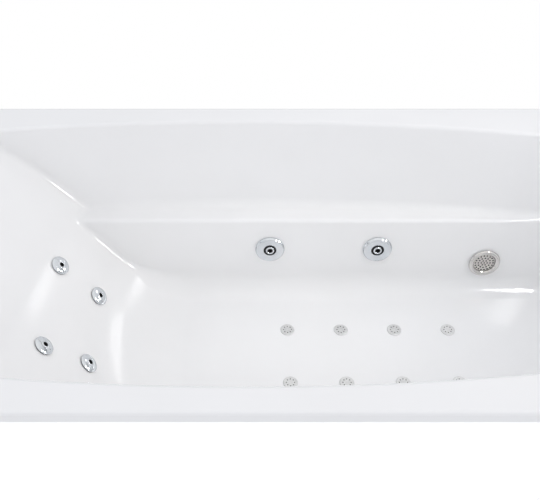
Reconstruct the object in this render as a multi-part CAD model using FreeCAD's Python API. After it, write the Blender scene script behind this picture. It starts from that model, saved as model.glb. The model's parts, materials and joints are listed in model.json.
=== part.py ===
import FreeCAD, Part
import math
import os

from FreeCAD import Placement, Rotation
from FreeCAD import Vector as V

# Jetted bathtub, millimetres, +Z up.  X runs from the head end (-X) to the foot end (+X), Y from the
# front panel (-Y) to the wall side (+Y).  The origin is on the ground under the middle of the tub.

# ---- Overall size ----
LENGTH = 1800.0
WIDTH = 800.0
RIM_HEIGHT = 560.0

# ---- Acrylic shell: rim and basin plan ----
WALL = 6.0
LIP_DROP = 26.0
LIP_CORNER = 26.0
LIP_ROUND = 8.0
RIM_WIDTH = 52.0
FOOT_RIM = 50.0
HEAD_RIM = 60.0
RIM_BOW = 4470.0
LEDGE_BOW = 6200.0
RIM_CORNER = 130.0
FLOOR_CORNER = 95.0
RIM_ROLL = 7.0

# ---- Acrylic shell: depths, ledge and wall slopes (a run is how far a wall leans in) ----
BASIN_DEPTH = 395.0
LEDGE_DROP = 200.0
LEDGE_WIDTH = 54.0
FOOT_LEDGE = 12.0
UPPER_RUN = 55.0
UPPER_FOOT_RUN = 24.0
LOWER_RUN = 27.0
LOWER_FOOT_RUN = 14.0
FLOOR_FILLET = 45.0

# ---- Backrest: a convex lumbar curve, dished across the tub ----
BACK_LENGTH = 651.0
BACK_TOE_SLOPE = 54.0
BACK_DISH_SLOPE = 42.0
BACK_CURVE = 1340.0
BACK_DISH = 900.0
BACK_FILLET = 100.0

# ---- Side jets ----
JET_FIRST_X = 70.0
JET_SPACING = 254.0
JET_HEIGHT = 115.0
JET_FACE = 69.0
JET_FLANGE = 59.0
JET_BARREL = 50.0
JET_BARREL_LENGTH = 46.0
JET_BALL = 33.0
JET_BORE = 12.0
JET_FLANGE_THICKNESS = 2.5
JET_RING_HEIGHT = 4.5
GASKET = 1.5
NUT_HEIGHT = 10.0

# ---- Back jets ----
BACK_JET_ARCS = (122.0, 235.0)
BACK_JET_OFFSETS = (93.0, 110.0)
BACK_JET_CAP = 43.0
BACK_JET_TUBE = 24.0
BACK_JET_LENGTH = 42.0
BACK_JET_BORE = 6.0
BACK_JET_DOME = 6.5
BACK_JET_FLANGE = 2.0

# ---- Air injectors in the floor ----
AIR_JET_FIRST_X = 110.0
AIR_JET_SPACING = 125.0
AIR_JET_COUNT = 4
AIR_JET_OFFSET = 74.0
AIR_JET_FACE = 33.0
AIR_JET_STEM = 15.0
AIR_JET_RISE = 2.4
AIR_RAIL = 20.0

# ---- Suction fitting, pump and water pipes ----
SUCTION_X = 585.0
SUCTION_HEIGHT = 74.0
SUCTION_FACE = 75.0
SUCTION_BARREL = 60.0
SUCTION_CUP = 34.0
SUCTION_SPIGOT = 20.0
SUCTION_PIPE = 50.0
SUCTION_BEND = 40.0
SUCTION_LINE_OUT = 133.0
PIPE_BEND = 55.0
PIPE_STEP = 6.0
TEE_STEP = 2.0
MANIFOLD_PIPE = 30.0
MANIFOLD_OUT = 90.0
MANIFOLD_ELBOW_LEG = 80.0
HOSE_BEND = 40.0
PUMP_HEAD_INSET = 280.0
PUMP_INLET_LEG = 60.0
PUMP_SPIGOT = 15.0
PUMP_OUTLET_REACH = 20.0
VOLUTE_DIAMETER = 150.0
VOLUTE_WIDTH = 66.0
VOLUTE_WALL = 14.0
BACKPLATE = 8.0
MOTOR_DIAMETER = 118.0
MOTOR_LENGTH = 190.0
MOTOR_FINS = 6
FIN_DEPTH = 5.0
TERMINAL_BOX = (60.0, 80.0, 22.0)
GLAND = 18.0
COWL_LENGTH = 44.0
SHAFT = 14.0
UNION_LENGTH = 20.0

# ---- Blower and air pipes ----
BLOWER_HEAD_INSET = 110.0
BLOWER_RAIL_INSET = 55.0
BLOWER_DIAMETER = 140.0
BLOWER_HEIGHT = 150.0
BLOWER_DRUM = 60.0
BLOWER_WALL = 4.0
BLOWER_FAN_LOW = 14.0
BLOWER_FAN_HEIGHT = 30.0
BLOWER_SHAFT_TOP = 84.0
BLOWER_OUTLET_RISE = 32.0
BLOWER_SPIGOT = 30.0
VALVE_LENGTH = 50.0
AIR_MAIN = 30.0
AIR_MAIN_BEND = 34.0
AIR_LINE = 12.0
AIR_LINE_BEND = 24.0
AIR_LINE_RISE = 7.0
AIR_PORT_GAP = 1.5
HEADER_AHEAD = 34.0

# ---- Controls on the foot deck ----
DIAL_INSET = 52.0
DIAL_SIDE_INSET = 65.0
BUTTON_INSET = 125.0
BUTTON_SIDE_INSET = 50.0
CONTROL_HOLE = 40.0
CONTROL_FACE = 54.0
CONTROL_FLANGE = 2.0
CONTROL_WALL = 4.0
DIAL_DEPTH = 62.0
DIAL_SPINDLE = 14.0
DIAL_KNOB_HEIGHT = 13.0
DIAL_FLUTES = 8
BUTTON_DEPTH = 44.0
BUTTON_TRAVEL = 4.0

# ---- Waste and overflow ----
WASTE_INSET = 182.0
WASTE_FLANGE = 68.0
WASTE_HOLE = 52.0
WASTE_TUBE = 20.0
WASTE_PLUG = 42.0
WASTE_STEM = 8.0
WASTE_BODY_DEPTH = 72.0
WASTE_BODY_WALL = 4.0
WASTE_PORT_DROP = 48.0
WASTE_PORT_REACH = 24.0
WASTE_SPIGOT = 40.0
WASTE_SPIGOT_LENGTH = 14.0
TRAP_DIAMETER = 80.0
TRAP_HEIGHT = 46.0
TRAP_SHOULDER = 44.0
TRAP_OUTLET = 68.0
OVERFLOW_DROP = 85.0
OVERFLOW_FACE = 72.0
OVERFLOW_HOLE = 50.0
OVERFLOW_DEPTH = 42.0
OVERFLOW_PIPE = 32.0
OVERFLOW_BEND = 45.0

# ---- Support frame ----
BASEBOARD = 18.0
RAIL_HEIGHT = 30.0
RAIL_WIDTH = 30.0
RAIL_INSET = 47.0
CHANNEL_WALL = 3.0
LEG_WIDTH = 40.0
LEG_HEIGHT = 30.0
LEG_HEAD_INSET = 140.0
LEG_MIDDLE_X = -60.0
LEG_FOOT_INSET = 260.0
LEG_INSET = 20.0
FOOT_INSET = 80.0
FOOT_PAD = 55.0
LOCKNUT = 8.0
FOOT_STUD = 12.0
BATTEN_WIDTH = 32.0
BATTEN_HEIGHT = 18.0
POST_WIDTH = 30.0
POST_THICKNESS = 5.0
PLATE_THICKNESS = 4.0
PLATE_OVERHANG = 25.0
SADDLE = 20.0
TRAP_GAP = 10.0

# ---- Front panel ----
PANEL_THICKNESS = 4.0
PANEL_GROUND_GAP = 12.0
PANEL_RETURN = 40.0
BATTEN_GAP = 2.0
CLIP_WIDTH = 24.0

# ---- Clearances ----
FIT = 0.3
RUN = 0.06
SEAT = 0.6

UP = V(0, 0, 1)
ALONG_X = V(1, 0, 0)
ALONG_Y = V(0, 1, 0)
ORIGIN = V(0, 0, 0)

floor_z = RIM_HEIGHT - BASIN_DEPTH
ledge_z = RIM_HEIGHT - LEDGE_DROP
under_floor_z = floor_z - WALL
rim_half = WIDTH / 2 - RIM_WIDTH
ledge_half = rim_half - UPPER_RUN
floor_half = ledge_half - LEDGE_WIDTH - LOWER_RUN
foot_x = LENGTH / 2 - FOOT_RIM
ledge_foot_x = foot_x - UPPER_FOOT_RUN
lower_height = ledge_z - floor_z
back_toe = LENGTH / 2 - BACK_LENGTH
manifold_y = floor_half + MANIFOLD_OUT
suction_line_y = floor_half + SUCTION_LINE_OUT
pump_inlet_y = suction_line_y - PUMP_INLET_LEG
pump_x = PUMP_HEAD_INSET - LENGTH / 2
rail_y = floor_half - RAIL_INSET
blower_x = BLOWER_HEAD_INSET - LENGTH / 2
blower_y = BLOWER_RAIL_INSET - rail_y
header_x = HEADER_AHEAD - back_toe
waste_x = LENGTH / 2 - WASTE_INSET
leg_xs = (LEG_HEAD_INSET - LENGTH / 2, LEG_MIDDLE_X, LENGTH / 2 - LEG_FOOT_INSET)
leg_end_y = WIDTH / 2 - LEG_INSET
foot_y = leg_end_y - FOOT_INSET
nodes = {}


# ================================ Small helpers ================================

def plan_outline(half_width, bow, x_head, x_foot, corner, z):
    """Closed plan outline: two long sides bowed out with radius bow (0 is straight), straight ends
    and tangent corner arcs."""

    def corner_points(x_end):
        across = abs(x_end) - corner
        if bow:
            up = math.sqrt((bow - corner) ** 2 - across ** 2)
            centre = V(across, half_width - bow + up, z)
            side_dir = V(across, up, 0).normalize()
        else:
            centre = V(across, half_width - corner, z)
            side_dir = V(0, 1, 0)
        mid_dir = (side_dir + ALONG_X).normalize()
        sign = math.copysign(1, x_end)
        arc_points = [centre + d * corner for d in (side_dir, mid_dir, ALONG_X)]
        return [V(sign * p.x, p.y, z) for p in arc_points]

    def flipped(p):
        return V(p.x, -p.y, z)

    def long_side(start, end, side):
        if bow:
            return Part.Arc(start, V(0, side * half_width, z), end).toShape()
        return Part.LineSegment(start, end).toShape()

    foot = corner_points(x_foot)
    head = corner_points(x_head)
    far_foot = [flipped(p) for p in foot]
    far_head = [flipped(p) for p in head]
    edges = [
        Part.Arc(foot[2], foot[1], foot[0]).toShape(),
        long_side(foot[0], head[0], 1),
        Part.Arc(head[0], head[1], head[2]).toShape(),
        Part.LineSegment(head[2], far_head[2]).toShape(),
        Part.Arc(far_head[2], far_head[1], far_head[0]).toShape(),
        long_side(far_head[0], far_foot[0], -1),
        Part.Arc(far_foot[0], far_foot[1], far_foot[2]).toShape(),
        Part.LineSegment(far_foot[2], foot[2]).toShape(),
    ]
    return Part.Wire(edges)


def turned(points):
    """Solid of revolution about Z from a closed profile of (radius, height) points."""
    corners = [V(r, 0, z) for r, z in points]
    face = Part.Face(Part.makePolygon(corners + corners[:1]))
    return face.revolve(ORIGIN, UP, 360)


def ring(outer, inner, low, high):
    """Flat ring or sleeve about Z, given by its two diameters."""
    body = Part.makeCylinder(outer / 2, high - low, V(0, 0, low))
    return body.cut(Part.makeCylinder(inner / 2, high - low, V(0, 0, low)))


def hexagonal_bar(across_flats, low, high):
    radius = across_flats / math.sqrt(3)
    corners = [V(radius * math.cos(math.radians(a)), radius * math.sin(math.radians(a)), low)
               for a in range(0, 360, 60)]
    return Part.Face(Part.makePolygon(corners + corners[:1])).extrude(V(0, 0, high - low))


def hexagon(across_flats, bore, low, high):
    """Hexagonal nut about Z with a round bore."""
    bar = hexagonal_bar(across_flats, low, high)
    return bar.cut(Part.makeCylinder(bore / 2, high - low, V(0, 0, low)))


def box(x, y, z):
    """Box between pairs of limits along each axis."""
    return Part.makeBox(x[1] - x[0], y[1] - y[0], z[1] - z[0], V(x[0], y[0], z[0]))


def draft_block(x_head, foot_low, foot_high, half_low, half_high, low, high):
    """Flat-sided block whose foot end and long sides lean outwards as they rise."""
    block = Part.makeWedge(x_head, low, -half_low, -half_high, x_head,
                           foot_low, high, half_low, half_high, foot_high)
    block.rotate(ORIGIN, ALONG_X, 90)
    return block


def edges_where(shape, test):
    return [e for e in shape.Edges if test(e.BoundBox)]


def rounded(shape, radius, test):
    """Round the edges whose bounding boxes pass the test."""
    return shape.makeFillet(radius, edges_where(shape, test))


def fused(parts):
    body = parts[0]
    for other in parts[1:]:
        body = body.fuse(other)
    return body.removeSplitter()


def placed(shape, placement):
    moved = shape.copy()
    moved.Placement = placement.multiply(moved.Placement)
    return moved


def bend_corner(before, corner, after, radius):
    """Start, centre, axis and turn of the arc that rounds one corner of a pipe's route."""
    into = (corner - before).normalize()
    out = (after - corner).normalize()
    turn = into.getAngle(out)
    back_off = radius * math.tan(turn / 2)
    start = corner - into * back_off
    end = corner + out * back_off
    axis = into.cross(out).normalize()
    centre = start + axis.cross(into) * radius
    return start, end, centre, axis, math.degrees(turn)


def pipe(route, diameter, bend_radius=PIPE_BEND):
    """Round pipe: straight runs joined by tangent arcs."""
    pieces = []
    here = route[0]
    for before, corner, after in zip(route, route[1:], route[2:]):
        start, end, centre, axis, turn = bend_corner(before, corner, after, bend_radius)
        run = start - here
        pieces.append(Part.makeCylinder(diameter / 2, run.Length, here, run))
        disc = Part.Face(Part.Wire(Part.makeCircle(diameter / 2, start, corner - before)))
        pieces.append(disc.revolve(centre, axis, turn))
        here = end
    run = route[-1] - here
    pieces.append(Part.makeCylinder(diameter / 2, run.Length, here, run))
    return fused(pieces)


def stub(start, end, diameter):
    """Straight round branch of a pipe."""
    return Part.makeCylinder(diameter / 2, (end - start).Length, start, end - start)


# ================================ Bath shell ================================

def back_frame():
    """Centre of the lumbar arc, the dish axis direction, its normal and a point on the axis."""
    toe_angle = math.radians(BACK_TOE_SLOPE)
    toe_normal = V(math.sin(toe_angle), 0, math.cos(toe_angle))
    centre = V(-back_toe, 0, floor_z) - toe_normal * BACK_CURVE
    mean = math.radians(BACK_DISH_SLOPE)
    normal = V(math.sin(mean), 0, math.cos(mean))
    axis = V(math.cos(mean), 0, -math.sin(mean))
    return centre, axis, normal, centre + normal * (BACK_CURVE + BACK_DISH)


def back_arc_direction(arc_length):
    """Unit normal of the lumbar curve at a distance up from its toe."""
    angle = math.radians(90 - BACK_TOE_SLOPE) + arc_length / BACK_CURVE
    return V(math.cos(angle), 0, math.sin(angle))


def back_surface(arc_length, offset):
    """Point and normal of the dished backrest at a distance up from the toe and across."""
    centre, axis, normal, axis_point = back_frame()
    direction = back_arc_direction(arc_length)
    point = centre + direction * BACK_CURVE
    radius = (axis_point - point).dot(normal)
    swing = math.asin(offset / radius)
    inward = normal * math.cos(swing) - ALONG_Y * math.sin(swing)
    on_dish = point + normal * (radius * (1 - math.cos(swing))) + ALONG_Y * offset
    return on_dish, axis * direction.dot(axis) + inward * direction.dot(normal)


def back_block(skin):
    """Everything behind and below the basin's backrest and floor, moved out by the skin."""
    centre, axis, normal, axis_point = back_frame()
    radius = BACK_CURVE - skin
    reach = 1.5 * BASIN_DEPTH
    arc_ends = (-BASIN_DEPTH / 3, BASIN_DEPTH * 2 / 3, BASIN_DEPTH * 2)
    low, mid, high = [centre + back_arc_direction(s) * radius for s in arc_ends]
    outline = [
        Part.Arc(low, mid, high).toShape(),
        Part.LineSegment(high, high - normal * reach).toShape(),
        Part.LineSegment(high - normal * reach, low - normal * reach).toShape(),
        Part.LineSegment(low - normal * reach, low).toShape(),
    ]
    face = Part.Face(Part.Wire(outline))
    spare = RIM_WIDTH
    half_swing = math.degrees(math.asin((rim_half + spare) / BACK_DISH))
    face.rotate(axis_point, axis, -half_swing)
    dish = face.revolve(axis_point, axis, 2 * half_swing)
    half_slab = rim_half + spare / 2
    bottom = floor_z - skin
    slab = box((-back_toe - reach / 2, foot_x + spare), (-half_slab, half_slab), (bottom - spare, bottom))
    block = dish.fuse(slab)
    toe = [e for e in edges_where(block, lambda b: abs(b.ZMin - bottom) + abs(b.ZMax - bottom) < 0.1)
           if e.Curve.TypeId == "Part::GeomBSplineCurve"]
    return block.makeFillet(BACK_FILLET + skin, toe)


def basin(skin, top):
    """Space inside the basin, grown outwards by the skin."""
    ledge_low = ledge_z - skin
    head_end = -(LENGTH / 2 - HEAD_RIM) - skin

    def upper(z):
        share = (z - ledge_z) / LEDGE_DROP
        bow = LEDGE_BOW + (RIM_BOW - LEDGE_BOW) * share
        corner = RIM_CORNER - (UPPER_FOOT_RUN - FOOT_LEDGE / 2) * (1 - share)
        return plan_outline(ledge_half + UPPER_RUN * share + skin, bow, head_end,
                            ledge_foot_x + UPPER_FOOT_RUN * share + skin, corner, z)

    bottom = floor_z - skin
    top_of_lower = ledge_z + WALL

    def leaning(at_floor, run, z):
        """Reach of a lower wall at a height, moved out square to the wall by the skin."""
        slope = run / lower_height
        return at_floor + slope * (z - floor_z) + skin * math.hypot(1, slope)

    foot_at_floor = ledge_foot_x - FOOT_LEDGE - LOWER_FOOT_RUN
    lower_basin = draft_block(head_end, leaning(foot_at_floor, LOWER_FOOT_RUN, bottom),
                              leaning(foot_at_floor, LOWER_FOOT_RUN, top_of_lower),
                              leaning(floor_half, LOWER_RUN, bottom),
                              leaning(floor_half, LOWER_RUN, top_of_lower), bottom, top_of_lower)
    lower_basin = rounded(lower_basin, FLOOR_CORNER + skin,
                          lambda b: b.XMin > 0 and b.ZMax - b.ZMin > lower_height)
    lower_basin = rounded(lower_basin, FLOOR_FILLET + skin,
                          lambda b: b.ZMax < bottom + 0.01 and b.XMax > head_end + 1)
    upper_basin = Part.makeLoft([upper(ledge_low), upper(top)], True, True)
    return upper_basin.fuse(lower_basin).cut(back_block(skin))


def lip_blank(inset, low, high):
    """Plan block of the rim with rounded corners, drawn in by the inset."""
    half_x = LENGTH / 2 - inset
    half_y = WIDTH / 2 - inset
    block = box((-half_x, half_x), (-half_y, half_y), (low, high))
    return rounded(block, LIP_CORNER - inset, lambda b: b.ZMax - b.ZMin > high - low - 0.01)


def make_shell_blank():
    """Rim slab with its turned-down lip, joined to the basin wall, hollowed by the basin."""
    slab = lip_blank(0, RIM_HEIGHT - LIP_DROP, RIM_HEIGHT)
    slab = rounded(slab, LIP_ROUND, lambda b: b.ZMin > RIM_HEIGHT - 0.01)
    slab = slab.cut(lip_blank(WALL, RIM_HEIGHT - LIP_DROP - 1, RIM_HEIGHT - WALL))
    shell = slab.fuse(basin(WALL, RIM_HEIGHT - WALL / 2)).cut(basin(0, RIM_HEIGHT + 3 * WALL))
    half_y = WIDTH / 2 - RIM_WIDTH / 2
    mouth = edges_where(shell, lambda b: b.ZMin > RIM_HEIGHT - 0.01 and b.YMax < half_y
                        and b.YMin > -half_y and b.XMax < foot_x + 1)
    return shell.makeFillet(RIM_ROLL, mouth)


def on_side_wall(x, z, side):
    """Placement on the lower side wall: local Z points into the basin, local Y up the wall."""
    lean = math.atan2(LOWER_RUN, lower_height)
    y = floor_half + LOWER_RUN * (z - floor_z) / lower_height
    inward = V(0, -side * math.cos(lean), math.sin(lean))
    sideways = ALONG_X * side
    turn = Rotation(sideways, inward.cross(sideways), inward, "ZXY")
    return Placement(V(x, side * y, z), turn)


def on_foot_wall(drop):
    """Placement on the upper foot wall: local Z points into the basin."""
    lean = math.atan2(UPPER_FOOT_RUN, LEDGE_DROP)
    x = foot_x - UPPER_FOOT_RUN * drop / LEDGE_DROP
    inward = V(-math.cos(lean), 0, math.sin(lean))
    sideways = ALONG_Y * -1
    turn = Rotation(sideways, inward.cross(sideways), inward, "ZXY")
    return Placement(V(x, 0, RIM_HEIGHT - drop), turn)


def on_backrest(arc_length, offset):
    """Placement on the backrest: local Z points to the bather."""
    point, inward = back_surface(arc_length, offset)
    sideways = ALONG_Y.cross(inward).normalize().cross(inward)
    return Placement(point, Rotation(sideways, inward.cross(sideways), inward, "ZXY"))


def at(x, y, z):
    return Placement(V(x, y, z), Rotation())


jet_z = floor_z + JET_HEIGHT
jet_places = [on_side_wall(JET_FIRST_X + JET_SPACING * i, jet_z, side)
              for side in (1, -1) for i in (0, 1)]
back_jet_places = [on_backrest(arc, side * offset) for side in (1, -1)
                   for arc, offset in zip(BACK_JET_ARCS, BACK_JET_OFFSETS)]
air_jet_places = [at(AIR_JET_FIRST_X + AIR_JET_SPACING * i, side * AIR_JET_OFFSET, floor_z)
                  for side in (1, -1) for i in range(AIR_JET_COUNT)]
suction_place = on_side_wall(SUCTION_X, floor_z + SUCTION_HEIGHT, 1)
overflow_place = on_foot_wall(OVERFLOW_DROP)
waste_place = at(waste_x, 0, floor_z)
dial_places = [at(LENGTH / 2 - DIAL_INSET, side * (WIDTH / 2 - DIAL_SIDE_INSET), RIM_HEIGHT)
               for side in (1, -1)]
button_places = [at(LENGTH / 2 - BUTTON_INSET, side * (WIDTH / 2 - BUTTON_SIDE_INSET), RIM_HEIGHT)
                 for side in (1, -1)]


def hole(place, diameter):
    """Drill through the shell wall along the fitting's axis."""
    drill = Part.makeCylinder(diameter / 2 + FIT, 4 * WALL, V(0, 0, -2.5 * WALL))
    return placed(drill, place)


def make_shell():
    shell = make_shell_blank()
    drills = [hole(p, JET_BARREL) for p in jet_places]
    drills += [hole(p, BACK_JET_TUBE) for p in back_jet_places]
    drills += [hole(p, AIR_JET_STEM) for p in air_jet_places]
    drills += [hole(p, CONTROL_HOLE) for p in dial_places + button_places]
    drills.append(hole(suction_place, SUCTION_BARREL))
    drills.append(hole(overflow_place, OVERFLOW_HOLE))
    drills.append(hole(waste_place, WASTE_HOLE))
    return shell.cut(Part.makeCompound(drills))


nodes["bath_shell"] = make_shell()


# ================================ Jets, injectors and suction ================================

def make_jet_body():
    """Flanged barrel with an open ball recess in front and a closed rear for the water port."""
    half = JET_BARREL / 2
    rear = -JET_BARREL_LENGTH
    chamfer = WALL
    floor = rear + 2 * WALL
    recess = half - barrel_wall
    flange = JET_FLANGE / 2
    return turned([(0, rear), (half - chamfer, rear), (half, rear + chamfer), (half, GASKET),
                   (flange, GASKET), (flange, jet_flange_top), (recess, jet_flange_top), (recess, floor),
                   (0, floor)])


def make_jet_ring():
    """Chrome face ring: a bevelled flange over the body's flange, with the ball's socket behind."""
    outer = JET_FACE / 2
    skirt = outer - 2
    low = GASKET - 0.5
    base = jet_flange_top + FIT
    front = base + JET_RING_HEIGHT
    socket = JET_BALL / 2 + SEAT
    dip = front - 3
    sleeve = JET_BARREL / 2 - barrel_wall - 2 * FIT
    socket_low = -JET_BALL / 2 - GASKET
    return turned([(outer, low), (outer, base + 1), (outer - 4, front), (socket + 7, front),
                   (socket + 4, dip), (socket, dip), (socket, socket_low), (sleeve, socket_low),
                   (sleeve, base), (skirt, base), (skirt, low)])


def make_jet_nozzle():
    """Eyeball nozzle: a ball cut flat in front and behind, with a through bore."""
    ball = Part.makeSphere(JET_BALL / 2, ball_centre)
    front = ball_centre.z + JET_BALL * 0.42
    rear = ball_centre.z - JET_BALL * 0.40
    ball = ball.common(Part.makeCylinder(JET_BALL, front - rear, V(0, 0, rear)))
    return ball.cut(Part.makeCylinder(JET_BORE / 2, JET_BALL * 2, V(0, 0, rear - JET_BALL / 2)))


def make_back_jet_body():
    """Small flanged tube that holds the turning cap."""
    tube = BACK_JET_TUBE / 2
    bore = tube - back_tube_wall
    flange = BACK_JET_CAP / 2 - 1
    rear = -BACK_JET_LENGTH
    return turned([(0, rear), (tube, rear), (tube, SEAT), (flange, SEAT), (flange, back_flange_top),
                   (bore, back_flange_top), (bore, rear + WALL), (0, rear + WALL)])


def make_back_jet_cap():
    """Domed cap with a raised lip round its centre hole and a spigot in the body."""
    outer = BACK_JET_CAP / 2
    bore = BACK_JET_BORE / 2
    base = back_flange_top + FIT
    top = base + BACK_JET_DOME
    spigot = BACK_JET_TUBE / 2 - back_tube_wall - FIT
    spigot_low = base - 8
    return turned([(bore, top), (bore + 2.5, top), (bore + 3.5, top - 1.5), (outer * 0.55, top - 2.3),
                   (outer * 0.85, top - 4.1), (outer, base), (spigot, base), (spigot, spigot_low),
                   (bore, spigot_low)])


barrel_wall = 3.0
back_tube_wall = 4.0
jet_flange_top = GASKET + JET_FLANGE_THICKNESS
back_flange_top = SEAT + BACK_JET_FLANGE
ball_centre = V(0, 0, -2 * GASKET)
jet_body = make_jet_body()
jet_ring = make_jet_ring()
jet_nozzle = make_jet_nozzle()
jet_gasket = ring(JET_FLANGE, JET_BARREL + FIT, 0, GASKET)
jet_nut = hexagon(JET_BARREL + 2 * WALL, JET_BARREL + FIT, -WALL - NUT_HEIGHT, -WALL)
nodes["side_jet_bodies"] = Part.makeCompound([placed(jet_body, p) for p in jet_places])
gaskets = [placed(jet_gasket, p) for p in jet_places]
backing_nuts = [placed(jet_nut, p) for p in jet_places]
for number, place in enumerate(jet_places, 1):
    nodes["side_jet_ring_%d" % number] = placed(jet_ring, place)
    nodes["side_jet_nozzle_%d" % number] = placed(jet_nozzle, place)

back_jet_body = make_back_jet_body()
back_jet_cap = make_back_jet_cap()
back_jet_nut = hexagon(BACK_JET_TUBE + 8, BACK_JET_TUBE + FIT, -WALL - SEAT - 8, -WALL - SEAT)
nodes["back_jet_bodies"] = Part.makeCompound([placed(back_jet_body, p) for p in back_jet_places])
backing_nuts += [placed(back_jet_nut, p) for p in back_jet_places]
for number, place in enumerate(back_jet_places, 1):
    nodes["back_jet_cap_%d" % number] = placed(back_jet_cap, place)

# Air injectors: a thin face on the floor, its stem through the shell and baseboard, a nut below
frame_top = under_floor_z - BASEBOARD
rail_z = frame_top - RAIL_HEIGHT / 2
stem_drop = floor_z - rail_z - AIR_RAIL / 2
face_half = AIR_JET_FACE / 2
stem_half = AIR_JET_STEM / 2
injector = turned([(0, FIT - stem_drop), (stem_half, FIT - stem_drop), (stem_half, 0), (face_half, 0),
                   (face_half, 1), (face_half - 1.5, AIR_JET_RISE), (0, AIR_JET_RISE)])
injector_nut = hexagon(AIR_JET_STEM + 8, AIR_JET_STEM + FIT, -WALL - 7, -WALL)
nodes["air_injectors"] = Part.makeCompound([placed(injector, p) for p in air_jet_places])
backing_nuts += [placed(injector_nut, p) for p in air_jet_places]

# Suction fitting: rounded trim ring, recessed perforated strainer, cupped body
strainer_diameter = SUCTION_BARREL - 8
suction_seat = 2.5


def make_suction_ring():
    outer = SUCTION_FACE / 2
    inner = strainer_diameter / 2
    base = suction_seat + FIT
    crown = base + 6.2
    shoulder = crown - 1.5
    return turned([(outer, base), (outer, base + 1.2), (outer - 2.5, shoulder), (outer - 6, crown),
                   (outer - 9, shoulder), (inner, base + 1.7), (inner, base)])


def make_strainer():
    """Perforated disc: hexagonal holes in two rings round the centre."""
    low = 1.0
    thick = 2.0
    disc = Part.makeCylinder(strainer_diameter / 2 - FIT, thick, V(0, 0, low))
    holes = []
    for radius, count in ((10.0, 6), (19.0, 12)):
        for i in range(count):
            turn = math.radians(360.0 * i / count)
            punch = hexagonal_bar(5, low - 1, low + thick + 1)
            punch.translate(V(radius * math.cos(turn), radius * math.sin(turn), 0))
            holes.append(punch)
    return disc.cut(Part.makeCompound(holes))


def make_suction_body():
    """Cup behind the strainer with a flange in front and a spigot for the suction pipe."""
    half = SUCTION_BARREL / 2
    flange = SUCTION_FACE / 2 - 3
    pipe_half = SUCTION_PIPE / 2
    cup_rear = -SUCTION_CUP - 4
    rear = cup_rear - SUCTION_SPIGOT
    return turned([(0, rear), (pipe_half, rear), (pipe_half, cup_rear), (half, cup_rear), (half, 0),
                   (flange, 0), (flange, suction_seat), (half - 4, suction_seat), (half - 4, 1),
                   (half - 9, 1), (half - 9, -SUCTION_CUP), (0, -SUCTION_CUP)])


suction_nut = hexagon(SUCTION_BARREL + 2 * WALL, SUCTION_BARREL + FIT, -WALL - NUT_HEIGHT, -WALL)
nodes["suction_trim_ring"] = placed(make_suction_ring(), suction_place)
nodes["suction_strainer"] = placed(make_strainer(), suction_place)
nodes["suction_body"] = placed(make_suction_body(), suction_place)
backing_nuts.append(placed(suction_nut, suction_place))

# ================================ Water pipes and pump ================================

suction_end = suction_place.multVec(V(0, 0, -SUCTION_CUP - 4 - SUCTION_SPIGOT))
suction_axis = suction_place.Rotation.multVec(UP)
suction_turn = suction_end - suction_axis * ((suction_line_y - suction_end.y) / -suction_axis.y)
line_z = suction_turn.z
side_lean = LOWER_RUN / lower_height
manifold_z = jet_z - (manifold_y - jet_places[0].Base.y) * side_lean
upper_jet = back_jet_places[1]
upper_axis = upper_jet.Rotation.multVec(UP)
cross_x = upper_jet.Base.x - upper_axis.x * (upper_jet.Base.z - manifold_z) / upper_axis.z
manifold_start_x = cross_x + MANIFOLD_ELBOW_LEG
manifold_end_x = jet_places[1].Base.x + JET_BARREL / 2

pump_inlet = V(pump_x, pump_inlet_y, line_z)
suction_route = [suction_end, suction_turn, V(pump_x, suction_line_y, line_z), pump_inlet]
nodes["suction_pipe"] = pipe(suction_route, SUCTION_PIPE, SUCTION_BEND)

volute_front = pump_inlet_y - PUMP_SPIGOT
volute_back = volute_front - VOLUTE_WIDTH
motor_front = volute_back - BACKPLATE
motor_back = motor_front - MOTOR_LENGTH
cowl_back = motor_back - COWL_LENGTH
outlet_y = volute_front - VOLUTE_WIDTH / 2
pump_outlet_x = pump_x + VOLUTE_DIAMETER / 2 + PUMP_OUTLET_REACH


def pump_outlet(diameter, start_x, end_x):
    """Round piece on the pump outlet's axis."""
    return stub(V(start_x, outlet_y, manifold_z), V(end_x, outlet_y, manifold_z), diameter)


def make_manifold_cross():
    """Pipe across behind the backrest with an elbow to each side run and branches to the back jets."""
    corners = [V(cross_x, side * manifold_y, manifold_z) for side in (1, -1)]
    ends = [V(manifold_start_x, corner.y, manifold_z) for corner in corners]
    parts = [pipe([ends[0], corners[0], corners[1], ends[1]], MANIFOLD_PIPE)]
    for place in (back_jet_places[1], back_jet_places[3]):
        start = place.multVec(V(0, 0, -BACK_JET_LENGTH - FIT))
        outward = place.Rotation.multVec(V(0, 0, -1))
        end = start + outward * ((cross_x - start.x) / outward.x)
        parts.append(stub(start, end, BACK_JET_TUBE - PIPE_STEP))
    parts.append(pump_outlet(MANIFOLD_PIPE - TEE_STEP, pump_outlet_x, cross_x))
    return fused(parts)


def make_manifold_side(side, places):
    """Straight run along one side with a branch to each side jet."""
    run_y = side * manifold_y
    parts = [stub(V(manifold_start_x, run_y, manifold_z), V(manifold_end_x, run_y, manifold_z),
                  MANIFOLD_PIPE)]
    for place in places:
        rear = place.multVec(V(0, 0, -JET_BARREL_LENGTH))
        parts.append(stub(rear, V(rear.x, run_y, manifold_z), MANIFOLD_PIPE - PIPE_STEP))
    return fused(parts)


nodes["manifold_cross"] = make_manifold_cross()
nodes["manifold_sides"] = Part.makeCompound([make_manifold_side(1, jet_places[:2]),
                                             make_manifold_side(-1, jet_places[2:])])


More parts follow.
